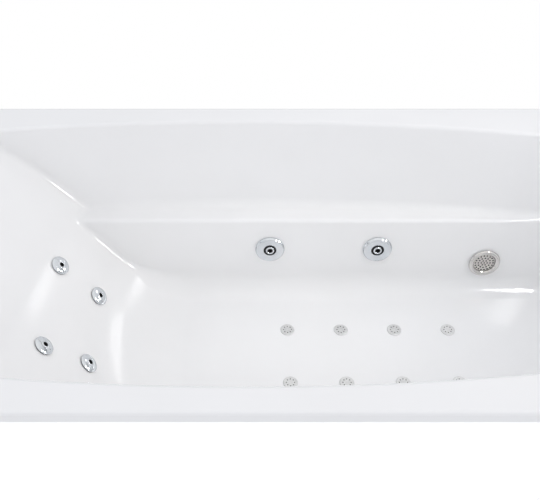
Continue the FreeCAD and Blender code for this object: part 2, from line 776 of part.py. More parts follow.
def make_back_hose(place):
    """Hose from a lower back jet that droops and rises into the cross pipe."""
    start = place.multVec(V(0, 0, -BACK_JET_LENGTH - FIT))
    outward = place.Rotation.multVec(V(0, 0, -1))
    low = start + outward * ((cross_x - start.x) / outward.x)
    end = V(cross_x, low.y, manifold_z - MANIFOLD_PIPE / 2 + 1)
    return pipe([start, low, end], BACK_JET_TUBE - 8, HOSE_BEND).cut(nodes["manifold_cross"])


nodes["back_jet_hoses"] = Part.makeCompound([make_back_hose(back_jet_places[i]) for i in (0, 2)])


def along_pump(shape):
    """Turn a piece built about Z so that its +Z points from the motor to the pump inlet."""
    return placed(shape, Placement(V(pump_x, 0, line_z), Rotation(UP, ALONG_Y)))


def make_volute():
    """Pump casing with an axial inlet spigot, a tangential outlet spigot and the impeller's chamber."""
    outer = VOLUTE_DIAMETER / 2
    inlet = SUCTION_PIPE / 2
    chamber = outer - VOLUTE_WALL
    case = along_pump(turned([
        (0, volute_back), (outer, volute_back), (outer, volute_front - VOLUTE_WALL),
        (chamber, volute_front), (inlet, volute_front), (inlet, pump_inlet_y), (0, pump_inlet_y)]))
    case = case.fuse(pump_outlet(MANIFOLD_PIPE + PIPE_STEP, pump_x, pump_outlet_x))
    room = Part.makeCylinder(chamber, VOLUTE_WIDTH - VOLUTE_WALL - 4, V(0, 0, volute_back))
    eye = Part.makeCylinder(inlet - 5, VOLUTE_WIDTH + PUMP_SPIGOT + 1, V(0, 0, volute_back))
    return case.cut(along_pump(room)).cut(along_pump(eye)).removeSplitter()


def make_motor():
    """Finned motor shell, open at the shaft, with a terminal box and a cable gland boss on top."""
    half = MOTOR_DIAMETER / 2
    bore = SHAFT / 2 + 1
    profile = [(bore, motor_front), (half, motor_front)]
    pitch = MOTOR_LENGTH * 0.8 / MOTOR_FINS
    start = motor_front - MOTOR_LENGTH * 0.1
    root = half - FIN_DEPTH
    for i in range(MOTOR_FINS):
        top = start - pitch * i
        foot = top - pitch / 2
        profile += [(half, top), (root, top - 1), (root, foot), (half, foot - 1)]
    profile += [(half, motor_back), (bore, motor_back)]
    body = along_pump(turned(profile))
    middle = (motor_front + motor_back) / 2
    top = line_z + half
    reach, length, height = TERMINAL_BOX
    low = top - FIN_DEPTH - NUT_HEIGHT
    terminal = box((pump_x - reach / 2, pump_x + reach / 2), (middle - length / 2, middle + length / 2),
                   (low, top + height))
    gland_x = pump_x - reach / 2
    gland = stub(V(gland_x, middle, top + 8), V(gland_x - GLAND, middle, top + 8), GLAND)
    return fused([body, terminal, gland])


def make_pump_rotor():
    """Impeller, shaft and cooling fan on one axis."""
    impeller = VOLUTE_DIAMETER / 2 - VOLUTE_WALL - 6
    hub = impeller - 22
    half = SHAFT / 2
    fan = MOTOR_DIAMETER / 2 - 12
    fan_low = cowl_back + 10
    low = volute_back + 6
    return along_pump(turned([
        (0, fan_low), (fan, fan_low), (fan, fan_low + 12), (half, fan_low + 12), (half, low),
        (impeller, low), (impeller, low + 8), (hub, low + 22), (12, low + 28), (0, low + 28)]))


def make_fan_cowl():
    """Cup over the motor's fan with an air intake in the middle."""
    half = MOTOR_DIAMETER / 2
    wall = 3
    intake = MOTOR_DIAMETER / 6
    return along_pump(turned([
        (half, motor_back), (half, cowl_back + 8), (half - 8, cowl_back), (intake, cowl_back),
        (intake, cowl_back + wall), (half - 10, cowl_back + wall), (half - wall, cowl_back + 10),
        (half - wall, motor_back)]))


def make_backplate():
    """Disc between motor and casing with the shaft's seal bore."""
    bore = SHAFT / 2 + RUN
    outer = VOLUTE_DIAMETER / 2
    spigot = outer - VOLUTE_WALL
    return along_pump(turned([
        (bore, motor_front), (outer, motor_front), (outer, volute_back), (spigot, volute_back),
        (spigot - 1, volute_back + 3), (bore, volute_back + 3)]))


nodes["pump_volute"] = make_volute()
nodes["pump_backplate"] = make_backplate()
nodes["pump_motor"] = make_motor()
nodes["pump_rotor"] = make_pump_rotor()
nodes["pump_fan_cowl"] = make_fan_cowl()

plate_top = frame_top + PLATE_THICKNESS
plate_x = (blower_x - BLOWER_DIAMETER / 2 - 10, pump_x + VOLUTE_DIAMETER / 2)
plate_half = rail_y + PLATE_OVERHANG


def make_equipment_plate():
    """Plate across the rails with two saddles for the motor."""
    half = MOTOR_DIAMETER / 2
    plate = box(plate_x, (-plate_half, plate_half), (frame_top, plate_top))
    seat = along_pump(Part.makeCylinder(half + FIT, MOTOR_LENGTH, V(0, 0, motor_back)))
    saddle_top = line_z - half + VOLUTE_WALL
    saddle_x = (pump_x - half + VOLUTE_WALL, pump_x + half - VOLUTE_WALL)
    saddles = [box(saddle_x, (y - SADDLE / 2, y + SADDLE / 2), (frame_top, saddle_top)).cut(seat)
               for y in (motor_front - SADDLE, motor_back + SADDLE)]
    return fused([plate] + saddles)


def make_pump_unions():
    """Ring nuts over the pump's inlet and outlet joints."""
    half = UNION_LENGTH / 2
    inlet = ring(SUCTION_PIPE + 14, SUCTION_PIPE + FIT, pump_inlet_y - half, pump_inlet_y + half)
    spigot = MANIFOLD_PIPE + PIPE_STEP
    outlet = pump_outlet(spigot + 2 * PIPE_STEP, pump_outlet_x - half, pump_outlet_x + half)
    core = pump_outlet(spigot + FIT, pump_outlet_x - half, pump_outlet_x + half)
    return Part.makeCompound([along_pump(inlet), outlet.cut(core)])


nodes["equipment_plate"] = make_equipment_plate()
nodes["pump_unions"] = make_pump_unions()

# ================================ Blower and air pipes ================================

blower_outlet_z = plate_top + BLOWER_OUTLET_RISE
blower_shell = BLOWER_DIAMETER / 2 - 5
valve_start = blower_x + BLOWER_DIAMETER / 2 + BLOWER_SPIGOT
valve_end = valve_start + VALVE_LENGTH


def around_blower(shape):
    return placed(shape, at(blower_x, blower_y, plate_top))


def make_blower_base():
    """Flat drum with a flange, a fan chamber open at the top and an outlet spigot to the foot end."""
    flange = BLOWER_DIAMETER / 2
    floor = 2 * BLOWER_WALL
    drum = around_blower(turned([(0, 0), (flange, 0), (flange, BLOWER_WALL), (blower_shell, BLOWER_WALL),
                                 (blower_shell, BLOWER_DRUM), (0, BLOWER_DRUM)]))
    outlet = V(valve_start, blower_y, blower_outlet_z)
    spigot = stub(V(blower_x, blower_y, blower_outlet_z), outlet, AIR_MAIN)
    chamber = around_blower(Part.makeCylinder(blower_shell - 5, BLOWER_DRUM - floor, V(0, 0, floor)))
    return drum.fuse(spigot).cut(chamber).removeSplitter()


def make_blower_cover():
    """Domed cover over the motor with an intake opening on top."""
    outer = blower_shell
    inner = outer - BLOWER_WALL
    low = BLOWER_DRUM
    floor = low + BLOWER_WALL
    top = BLOWER_HEIGHT
    eaves = top - 40
    bore = SHAFT / 2 + RUN
    intake = SHAFT
    return around_blower(turned([
        (outer, low), (outer, eaves), (outer - 25, top - BLOWER_WALL), (outer - 35, top), (intake, top),
        (intake, top - BLOWER_WALL), (outer - 36, top - BLOWER_WALL), (outer - 28, top - 2 * BLOWER_WALL),
        (inner, eaves - 2), (inner, floor), (bore, floor), (bore, low)]))


def make_blower_rotor():
    """Fan disc with its rim and shaft."""
    fan = blower_shell - 5 - BLOWER_WALL
    low = BLOWER_FAN_LOW
    web = low + BLOWER_WALL
    top = low + BLOWER_FAN_HEIGHT
    half = SHAFT / 2
    return around_blower(turned([
        (0, low), (fan, low), (fan, top), (fan - BLOWER_WALL, top), (fan - BLOWER_WALL, web), (half, web),
        (half, BLOWER_SHAFT_TOP), (0, BLOWER_SHAFT_TOP)]))


def make_check_valve():
    """Barrel-shaped valve body in the air main."""
    neck = AIR_MAIN / 2 + 4
    belly = neck + 5
    slope = 10
    body = turned([(0, 0), (neck, 0), (belly, slope), (belly, VALVE_LENGTH - slope), (neck, VALVE_LENGTH),
                   (0, VALVE_LENGTH)])
    return placed(body, Placement(V(valve_start, blower_y, blower_outlet_z), Rotation(UP, ALONG_X)))


nodes["blower_base"] = make_blower_base()
nodes["blower_cover"] = make_blower_cover()
nodes["blower_rotor"] = make_blower_rotor()
nodes["check_valve"] = make_check_valve()

header_pipe = AIR_MAIN - PIPE_STEP
drop_x = plate_x[1] + AIR_MAIN / 2
low_x = drop_x + blower_outlet_z - rail_z
main_route = [V(valve_end, blower_y, blower_outlet_z), V(drop_x, blower_y, blower_outlet_z),
              V(low_x, blower_y, rail_z), V(header_x, blower_y, rail_z),
              V(header_x, AIR_JET_OFFSET + AIR_RAIL, rail_z)]
nodes["air_main"] = pipe(main_route, header_pipe, AIR_MAIN_BEND)
rail_end_x = AIR_JET_FIRST_X + AIR_JET_SPACING * (AIR_JET_COUNT - 1) + AIR_RAIL
rail_start_x = header_x + header_pipe / 2 - 1


def make_air_rail(side):
    """Straight pipe under one row of injectors, let into the air main."""
    y = side * AIR_JET_OFFSET
    rail = stub(V(rail_start_x, y, rail_z), V(rail_end_x, y, rail_z), AIR_RAIL)
    return rail.cut(nodes["air_main"])


nodes["air_rails"] = Part.makeCompound([make_air_rail(side) for side in (1, -1)])


def port_spot(place):
    """Top of a side jet's barrel, where its air port leaves."""
    return place.multVec(V(0, JET_BARREL / 2 + AIR_PORT_GAP, AIR_LINE - JET_BARREL_LENGTH))


def make_air_line(dial, places):
    """Air pipe from the air control down and along the side, with a short branch down to each jet."""
    ports = [port_spot(p) for p in places]
    run_y = ports[0].y + math.copysign(3, ports[0].y)
    run_z = ports[0].z + AIR_LINE_RISE
    top = V(dial.Base.x, dial.Base.y, RIM_HEIGHT - DIAL_DEPTH - FIT)
    route = [top, V(top.x, top.y, run_z), V(top.x, run_y, run_z), V(ports[0].x - AIR_LINE, run_y, run_z)]
    line = pipe(route, AIR_LINE, AIR_LINE_BEND)
    branches = [stub(p, V(p.x, run_y, run_z), AIR_LINE - 4) for p in ports]
    return fused([line] + branches)


nodes["air_lines"] = Part.makeCompound([make_air_line(dial_places[0], jet_places[:2]),
                                        make_air_line(dial_places[1], jet_places[2:])])

# ================================ Deck controls ================================

hole_half = CONTROL_HOLE / 2
control_bore = hole_half - CONTROL_WALL
bezel_half = CONTROL_FACE / 2


def make_dial_body():
    """Flanged air valve body with a socket for the spindle and a hose tail below."""
    tail = AIR_LINE / 2 + 3
    socket = DIAL_SPINDLE / 2 + FIT
    depth = DIAL_KNOB_HEIGHT + 3
    neck = -BUTTON_DEPTH
    return turned([(0, -DIAL_DEPTH), (tail, -DIAL_DEPTH), (tail, neck), (hole_half, neck + 4),
                   (hole_half, 0), (bezel_half, 0), (bezel_half, CONTROL_FLANGE), (socket, CONTROL_FLANGE),
                   (socket, -depth), (0, -depth)])


def make_dial_knob():
    """Fluted round knob with its spindle."""
    low = CONTROL_FLANGE + FIT
    top = low + DIAL_KNOB_HEIGHT
    outer = bezel_half - 3
    spindle = DIAL_SPINDLE / 2
    depth = DIAL_KNOB_HEIGHT + 2
    knob = turned([(0, -depth), (spindle, -depth), (spindle, low), (outer, low), (outer - 1, top - 3),
                   (outer - 4, top), (0, top)])
    flute_ring = outer + 1.4
    turns = [2 * math.pi * i / DIAL_FLUTES for i in range(DIAL_FLUTES)]
    spots = [V(flute_ring * math.cos(a), flute_ring * math.sin(a), low) for a in turns]
    flutes = [Part.makeCylinder(3, 2 * DIAL_KNOB_HEIGHT, spot) for spot in spots]
    return knob.cut(Part.makeCompound(flutes))


def make_button_body():
    """Bezel and bellows housing of a push button."""
    floor = CONTROL_WALL - BUTTON_DEPTH
    return turned([(hole_half - 2, -BUTTON_DEPTH), (hole_half, 2 - BUTTON_DEPTH), (hole_half, 0),
                   (bezel_half, 0), (bezel_half - 1, 4), (hole_half - 1, WALL), (control_bore, WALL),
                   (control_bore, floor), (0, floor), (0, -BUTTON_DEPTH)])


def make_button_cap():
    """Push button with a low crown and its plunger."""
    outer = control_bore - 5 * RUN
    plunger = 5
    depth = BUTTON_DEPTH / 2 - 2
    return turned([(0, -depth), (plunger, -depth), (plunger, -1), (outer, -1), (outer, WALL),
                   (outer - 1.7, WALL + 1.4), (0, WALL + 2)])


control_nut = hexagon(CONTROL_HOLE + NUT_HEIGHT, CONTROL_HOLE + FIT, -WALL - 8, -WALL)
dial_body = make_dial_body()
button_body = make_button_body()
button_cap = make_button_cap()
nodes["control_bodies"] = Part.makeCompound([placed(dial_body, p) for p in dial_places]
                                            + [placed(button_body, p) for p in button_places])
backing_nuts += [placed(control_nut, p) for p in dial_places + button_places]
nodes["backing_nuts"] = Part.makeCompound(backing_nuts)
for label, dial, button in zip(("far", "near"), dial_places, button_places):
    nodes["air_knob_" + label] = placed(make_dial_knob(), dial)
    nodes["button_" + label] = placed(button_cap, button)

# ================================ Waste and overflow ================================

waste_half = WASTE_HOLE / 2
flange_half = WASTE_FLANGE / 2
plug_half = WASTE_PLUG / 2
waste_stem = WASTE_STEM / 2
tube_low = -WALL - WASTE_TUBE
seat_top = 2.5
seat_low = -1.0
tube_out = waste_half - 1
waste_gasket = 2.0


def make_waste_flange():
    """Flange and tube through the floor, with a conical seat and a cross that guides the plug's stem."""
    bore = plug_half + 0.5
    tube = turned([(flange_half, 0), (flange_half, 1), (flange_half - 3, seat_top),
                   (plug_half + 2, seat_top), (bore, seat_low), (bore, tube_low),
                   (tube_out, tube_low), (tube_out, 0)])
    bar = WASTE_STEM / 4
    reach = bore + 1
    hub_high = tube_low + WALL
    cross = [box((-reach, reach), (-bar, bar), (tube_low, hub_high)),
             box((-bar, bar), (-reach, reach), (tube_low, hub_high)),
             Part.makeCylinder(waste_stem + 4, WALL, V(0, 0, tube_low))]
    guide = Part.makeCylinder(waste_stem + RUN, 2 * WALL, V(0, 0, tube_low - 1))
    return fused([tube] + cross).cut(guide)


def make_waste_plug():
    """Plug whose edge is parallel to its conical seat, on a stem that runs in the cross."""
    edge = plug_half - 1.1 * FIT
    stem_low = tube_low - 16
    return turned([(0, stem_low), (waste_stem, stem_low), (waste_stem, seat_low - 1),
                   (plug_half - 3, seat_low - 1), (edge + 0.5, seat_low), (edge + 2, seat_top),
                   (plug_half - 1, seat_top + 2), (0, seat_top + 3)])


body_top = -WALL - waste_gasket
body_low = -WASTE_BODY_DEPTH
trap_top = body_low - WASTE_SPIGOT_LENGTH
trap_outlet_drop = TRAP_HEIGHT / 2
port_end = waste_half + 2 + WASTE_PORT_REACH


def make_waste_body():
    """Cup under the floor with a side port for the overflow and a spigot down into the trap."""
    cup = tube_out + FIT
    outer = waste_half + WASTE_BODY_WALL
    spigot = WASTE_SPIGOT / 2
    bore = spigot - WASTE_BODY_WALL
    floor = body_low + WASTE_BODY_WALL
    rim = body_top - 5
    body = turned([(cup, body_top), (flange_half, body_top), (flange_half, rim), (outer, rim),
                   (outer, body_low), (spigot, body_low), (spigot, trap_top), (bore, trap_top),
                   (bore, floor), (cup, floor)])
    port = Part.makeCylinder(OVERFLOW_PIPE / 2, WASTE_PORT_REACH, V(waste_half + 2, 0, -WASTE_PORT_DROP),
                             ALONG_X)
    return body.fuse(port).removeSplitter()


def make_trap():
    """Shallow bottle trap with a shouldered level outlet spigot to the wall side."""
    half = TRAP_DIAMETER / 2
    low = trap_top - TRAP_HEIGHT
    edge = half - 4
    outlet = V(0, 0, trap_top - trap_outlet_drop)
    cup = turned([(0, low), (edge, low), (half, low + 4), (half, trap_top - 4), (edge, trap_top),
                  (0, trap_top)])
    shoulder = Part.makeCylinder(trap_outlet_drop - 0.5, TRAP_SHOULDER, outlet, ALONG_Y)
    spigot = Part.makeCylinder(WASTE_SPIGOT / 2, TRAP_SHOULDER + TRAP_OUTLET, outlet, ALONG_Y)
    return fused([cup, shoulder, spigot])


nodes["waste_flange"] = placed(make_waste_flange(), waste_place)
nodes["waste_plug"] = placed(make_waste_plug(), waste_place)
gaskets.append(placed(ring(WASTE_FLANGE, WASTE_HOLE, body_top, -WALL), waste_place))
nodes["gaskets"] = Part.makeCompound(gaskets)
nodes["waste_body"] = placed(make_waste_body(), waste_place)
nodes["waste_trap"] = placed(make_trap(), waste_place)

overflow_out = OVERFLOW_HOLE / 2
overflow_shoulder = overflow_out + 5


def make_overflow_body():
    """Cup behind the foot wall with a flange in front and a web round the knob's spindle."""
    rear = -OVERFLOW_DEPTH
    flange = OVERFLOW_FACE / 2 - 5
    spindle = overflow_spindle + FIT
    bore = overflow_out - 4
    return turned([(0, rear), (overflow_shoulder, rear), (overflow_shoulder, -WALL), (overflow_out, -WALL),
                   (overflow_out, 1), (flange, 1), (flange, overflow_top), (spindle, overflow_top),
                   (spindle, 0), (bore, 0), (bore, rear + 4), (0, rear + 4)])


def make_overflow_knob():
    """Round turning face with a dished middle and a spindle."""
    half = OVERFLOW_FACE / 2
    low = overflow_top + FIT
    face = 15
    return turned([(0, -8), (overflow_spindle, -8), (overflow_spindle, low), (half, low), (half, face - 5),
                   (half - 5, face), (16, face), (13, face - 2), (0, face - 2)])


overflow_top = 4.0
overflow_spindle = 8.0
nodes["overflow_body"] = placed(make_overflow_body(), overflow_place)
nodes["overflow_knob"] = placed(make_overflow_knob(), overflow_place)

pipe_top = overflow_place.multVec(V(0, -overflow_shoulder, -WALL - OVERFLOW_PIPE / 2 - 2))
pipe_end = waste_place.multVec(V(port_end - 2, 0, -WASTE_PORT_DROP))
overflow_route = [V(pipe_top.x, 0, pipe_top.z + 3), V(pipe_top.x, 0, pipe_end.z), pipe_end]
overflow_pipe = pipe(overflow_route, OVERFLOW_PIPE, OVERFLOW_BEND)
nodes["overflow_pipe"] = overflow_pipe.cut(nodes["overflow_body"]).cut(nodes["waste_body"])

# ================================ Support frame and panel ================================

rail_low = frame_top - RAIL_HEIGHT
leg_low = rail_low - LEG_HEIGHT
frame_end_x = waste_x - WASTE_FLANGE / 2 - TRAP_GAP
frame_x = (plate_x[0], frame_end_x)
board_x = (-back_toe + BACK_FILLET / 2, frame_end_x - 2)
board_half = floor_half - FLOOR_FILLET / 2


def make_baseboard():
    board = box(board_x, (-board_half, board_half), (frame_top, under_floor_z))
    wells = [placed(Part.makeCylinder(AIR_JET_STEM, BASEBOARD + 2, V(0, 0, -WALL - BASEBOARD - 1)), p)
             for p in air_jet_places]
    return board.cut(Part.makeCompound(wells))


def channel(x, y, z):
    """Folded steel channel, open below, running along its longer plan side."""
    t = CHANNEL_WALL
    outer = box(x, y, z)
    if x[1] - x[0] > y[1] - y[0]:
        return outer.cut(box(x, (y[0] + t, y[1] - t), (z[0], z[1] - t)))
    return outer.cut(box((x[0] + t, x[1] - t), y, (z[0], z[1] - t)))


nodes["baseboard"] = make_baseboard()
half_rail = RAIL_WIDTH / 2
nodes["frame_rails"] = Part.makeCompound([
    channel(frame_x, (side * rail_y - half_rail, side * rail_y + half_rail), (rail_low, frame_top))
    for side in (1, -1)])
foot_spots = [V(x, side * foot_y, 0) for x in leg_xs for side in (1, -1)]


def make_leg(x):
    leg = channel((x - LEG_WIDTH / 2, x + LEG_WIDTH / 2), (-leg_end_y, leg_end_y), (leg_low, rail_low))
    holes = [stub(V(x, side * foot_y, leg_low), V(x, side * foot_y, rail_low + 1), FOOT_STUD + 2 * FIT)
             for side in (1, -1)]
    return leg.cut(Part.makeCompound(holes))


nodes["cradle_legs"] = Part.makeCompound([make_leg(x) for x in leg_xs])

pad = FOOT_PAD / 2
stud = FOOT_STUD / 2
stud_top = rail_low + 1.5 * LOCKNUT
foot = turned([(0, 0), (pad, 0), (pad, stud), (pad - FOOT_STUD, FOOT_STUD), (stud, FOOT_STUD + 2),
               (stud, stud_top), (0, stud_top)])
nodes["levelling_feet"] = Part.makeCompound([placed(foot, Placement(p, Rotation())) for p in foot_spots])
locknut = hexagon(FOOT_STUD * 1.6, FOOT_STUD + FIT, 0, LOCKNUT)
web_low = rail_low - CHANNEL_WALL
nodes["foot_locknuts"] = Part.makeCompound(
    [placed(locknut, at(p.x, p.y, z)) for p in foot_spots for z in (rail_low, web_low - LOCKNUT)])

batten_high = RIM_HEIGHT - WALL
batten_low = batten_high - BATTEN_HEIGHT
batten_out = WIDTH / 2 - WALL - PANEL_THICKNESS - BATTEN_GAP
batten_end = LENGTH / 2 - BUTTON_INSET - CONTROL_FACE
head_batten = LENGTH / 2 - WALL - PANEL_THICKNESS - BATTEN_GAP


def make_battens():
    parts = [box((-head_batten + BATTEN_WIDTH + BATTEN_GAP, batten_end),
                 sorted((side * batten_out, side * (batten_out - BATTEN_WIDTH))), (batten_low, batten_high))
             for side in (1, -1)]
    head_reach = batten_out - LIP_CORNER / 2
    parts.append(box((-head_batten, -head_batten + BATTEN_WIDTH), (-head_reach, head_reach),
                     (batten_low, batten_high)))
    return Part.makeCompound(parts)


nodes["rim_battens"] = make_battens()
post_x = [x + LEG_WIDTH / 2 - POST_WIDTH / 2 for x in leg_xs]


def make_posts():
    parts = []
    for x in post_x:
        for side in (1, -1):
            y = sorted((side * (leg_end_y - POST_THICKNESS), side * leg_end_y))
            parts.append(box((x - POST_WIDTH / 2, x + POST_WIDTH / 2), y, (rail_low, batten_low)))
    return Part.makeCompound(parts)


nodes["rim_posts"] = make_posts()

panel_front = -(WIDTH / 2 - WALL - FIT)
panel_back = panel_front + PANEL_THICKNESS


def make_panel():
    """Front panel that turns both corners inside the lip and ends in short returns."""
    top = RIM_HEIGHT - WALL - FIT
    inset = WALL + FIT
    band = lip_blank(inset, PANEL_GROUND_GAP, top)
    band = band.cut(lip_blank(inset + PANEL_THICKNESS, PANEL_GROUND_GAP, top))
    return band.common(box((-LENGTH, LENGTH), (-WIDTH, panel_back + PANEL_RETURN), (0, RIM_HEIGHT)))


nodes["front_panel"] = make_panel()


def make_clip(x):
    """Angle clip from a leg's end to the back of the panel."""
    t = CHANNEL_WALL
    width = (x - CLIP_WIDTH / 2, x + CLIP_WIDTH / 2)
    clip = box(width, (panel_back, -leg_end_y), (leg_low, rail_low))
    return clip.cut(box(width, (panel_back + t, -leg_end_y), (leg_low, rail_low - t)))


nodes["panel_clips"] = Part.makeCompound([make_clip(x) for x in leg_xs])


# ================================ Write the sub-parts ================================

os.makedirs("parts", exist_ok=True)
for name, shape in nodes.items():
    shape.exportStep("parts/" + name + ".step")
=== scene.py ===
import json
import math

import bmesh
import bpy
import numpy as np
from mathutils import Euler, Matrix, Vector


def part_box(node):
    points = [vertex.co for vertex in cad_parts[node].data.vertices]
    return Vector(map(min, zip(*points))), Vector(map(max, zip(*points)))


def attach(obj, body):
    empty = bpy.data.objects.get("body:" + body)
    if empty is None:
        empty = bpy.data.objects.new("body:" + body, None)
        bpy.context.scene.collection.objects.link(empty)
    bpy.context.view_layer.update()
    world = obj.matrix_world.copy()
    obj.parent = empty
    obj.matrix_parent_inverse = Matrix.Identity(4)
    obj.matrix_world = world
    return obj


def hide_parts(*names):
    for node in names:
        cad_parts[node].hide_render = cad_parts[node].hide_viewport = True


# The looks of the jetted bathtub.  Sizes below are in millimetres and become metres in mesh_from().
# X runs to the foot end, Y to the wall side, Z up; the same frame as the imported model.

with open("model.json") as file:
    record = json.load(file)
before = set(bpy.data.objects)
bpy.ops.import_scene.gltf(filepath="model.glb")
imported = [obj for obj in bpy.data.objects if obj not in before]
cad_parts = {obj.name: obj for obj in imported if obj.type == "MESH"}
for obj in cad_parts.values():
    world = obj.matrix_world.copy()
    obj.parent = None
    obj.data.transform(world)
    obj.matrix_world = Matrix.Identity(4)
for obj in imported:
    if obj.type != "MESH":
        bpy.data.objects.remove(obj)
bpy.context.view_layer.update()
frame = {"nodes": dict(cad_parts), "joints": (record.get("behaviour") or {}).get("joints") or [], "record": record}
nodes = frame["nodes"]
joints = {j["child"]: j for j in frame["joints"]}

# ---- Sizes shared with the solid model ----
LENGTH = 1800.0
WIDTH = 800.0
RIM = 560.0                 # heights of the rim, the armrest ledges and the basin's floor
LEDGE = 360.0
FLOOR = 165.0
WALL = 6.0
LIP_DROP = 26.0
LIP_CORNER = 26.0
LIP_ROUND = 8.0
LIP_SHORT = 0.5             # the skin's lip ends this much above the solid's

# Half widths of the basin: at the rim, at the back and the front of the ledge, and at the floor
RIM_HALF = 348.0
LEDGE_HALF = 293.0
STEP_HALF = 239.0
FLOOR_HALF = 212.0

# Where the same outlines end at the foot, and how far they run behind the backrest
FOOT_X = 850.0
LEDGE_FOOT_X = 826.0
STEP_FOOT_X = 814.0
FLOOR_FOOT_X = 800.0
HEAD_END = 840.0

# Radii of the bowed long sides and of the corners in plan
RIM_BOW = 4470.0
LEDGE_BOW = 6200.0
NO_BOW = 1e7
RIM_CORNER = 130.0
LEDGE_CORNER = 112.0
FLOOR_CORNER = 95.0

# Backrest: where it meets the floor, its slopes in degrees, its lengthwise and crosswise radii
BACK_TOE = 249.0
BACK_TOE_SLOPE = 54.0
BACK_DISH_SLOPE = 42.0
BACK_CURVE = 1340.0
BACK_DISH = 900.0

# Roundings of the skin
EDGE_ROUND = 7.0            # rim and ledge edges
TOE_FILLET = 100.0          # backrest into floor
FLOOR_FILLET = 45.0         # lower wall into floor
LEDGE_FILLET = 18.0         # upper wall into ledge
CREASE_ROUND = 9.0          # both, where they run into the backrest

# The walls lean back: the distance to a wall is its distance in plan by this cosine
UPPER_LEAN_COS = 0.964
LOWER_LEAN_COS = 0.990
LOWER_LEAN = math.atan2(STEP_HALF - FLOOR_HALF, LEDGE - FLOOR)

# Places of the fittings, and the holes in the shell behind them
SUCTION_X = 585.0
SUCTION_UP = 74.0           # over the floor
INJECTOR_START = 110.0
INJECTOR_PITCH = 125.0
INJECTORS_PER_ROW = 4
INJECTOR_ROW = 74.0         # to each side of the middle
BUTTON_X = 775.0
BUTTON_Y = 350.0
SIDE_JET_HOLE = 26.0
BACK_JET_HOLE = 13.0
INJECTOR_HOLE = 8.5
CONTROL_HOLE = 21.0
SUCTION_HOLE = 31.0
OVERFLOW_HOLE = 26.5
WASTE_HOLE = 27.5

MERGE = 1e-6                # metres; points that are nearer than this are one


# ================================ Materials ================================

def new_material(name):
    """A material whose Principled shader reads Object coordinates."""
    mat = bpy.data.materials.new(name)
    mat.use_nodes = True
    tree = mat.node_tree
    shader = tree.nodes["Principled BSDF"]
    coords = tree.nodes.new("ShaderNodeTexCoord")
    return mat, tree, shader, coords.outputs["Object"]


def noise(tree, coords, scale, detail=3.0, stretch=None):
    """Noise texture on Object coordinates; stretch squeezes it along the axes."""
    node = tree.nodes.new("ShaderNodeTexNoise")
    node.inputs["Scale"].default_value = scale
    node.inputs["Detail"].default_value = detail
    if stretch:
        mapping = tree.nodes.new("ShaderNodeMapping")
        mapping.inputs["Scale"].default_value = stretch
        tree.links.new(coords, mapping.inputs["Vector"])
        coords = mapping.outputs["Vector"]
    tree.links.new(coords, node.inputs["Vector"])
    return node.outputs["Fac"]


def ramp(tree, fac, stops):
    """Colour ramp from (position, colour) stops."""
    node = tree.nodes.new("ShaderNodeValToRGB")
    elements = node.color_ramp.elements
    for element, (position, colour) in zip(elements, stops):
        element.position = position
        element.color = (*colour, 1.0)
    for position, colour in stops[2:]:
        elements.new(position).color = (*colour, 1.0)
    tree.links.new(fac, node.inputs["Fac"])
    return node.outputs["Color"]


def spread(tree, fac, low, high):
    """Map a 0..1 value to the range low..high."""
    node = tree.nodes.new("ShaderNodeMapRange")
    node.inputs["To Min"].default_value = low
    node.inputs["To Max"].default_value = high
    tree.links.new(fac, node.inputs["Value"])
    return node.outputs["Result"]


def bump(tree, shader, height, strength, distance):
    """Tilt the shader's normal by a height pattern."""
    node = tree.nodes.new("ShaderNodeBump")
    node.inputs["Strength"].default_value = strength
    node.inputs["Distance"].default_value = distance
    tree.links.new(height, node.inputs["Height"])
    tree.links.new(node.outputs["Normal"], shader.inputs["Normal"])


def moulded(name, low, high, roughness, grain=900.0, depth=0.0002, coat=0.0):
    """Moulded plastic or paint: faint mottling, uneven gloss and a fine surface grain."""
    mat, tree, shader, coords = new_material(name)
    mottling = noise(tree, coords, 6.0, 4.0)
    tree.links.new(ramp(tree, mottling, [(0.3, low), (0.7, high)]), shader.inputs["Base Color"])
    gloss = noise(tree, coords, 28.0, 2.0)
    tree.links.new(spread(tree, gloss, *roughness), shader.inputs["Roughness"])
    bump(tree, shader, noise(tree, coords, grain, 2.0), 0.25, depth)
    shader.inputs["Coat Weight"].default_value = coat
    shader.inputs["Coat Roughness"].default_value = 0.03
    return mat


def metal(name, low, high, roughness, scale=40.0, stretch=None, strength=0.05):
    """Metal with slightly uneven tint and polish; stretch makes brushing lines."""
    mat, tree, shader, coords = new_material(name)
    shader.inputs["Metallic"].default_value = 1.0
    pattern = noise(tree, coords, scale, 4.0, stretch)
    tree.links.new(ramp(tree, pattern, [(0.3, low), (0.7, high)]), shader.inputs["Base Color"])
    tree.links.new(spread(tree, pattern, *roughness), shader.inputs["Roughness"])
    bump(tree, shader, pattern, strength, 0.0003)
    return mat


def galvanised(name):
    """Zinc spangle: cells of slightly different grey and gloss."""
    mat, tree, shader, coords = new_material(name)
    shader.inputs["Metallic"].default_value = 1.0
    cells = tree.nodes.new("ShaderNodeTexVoronoi")
    cells.inputs["Scale"].default_value = 90.0
    tree.links.new(coords, cells.inputs["Vector"])
    grey = ramp(tree, cells.outputs["Color"], [(0.1, (0.46, 0.48, 0.50)), (0.9, (0.66, 0.68, 0.69))])
    tree.links.new(grey, shader.inputs["Base Color"])
    tree.links.new(spread(tree, noise(tree, coords, 60.0), 0.30, 0.52), shader.inputs["Roughness"])
    bump(tree, shader, cells.outputs["Distance"], 0.08, 0.0004)
    return mat


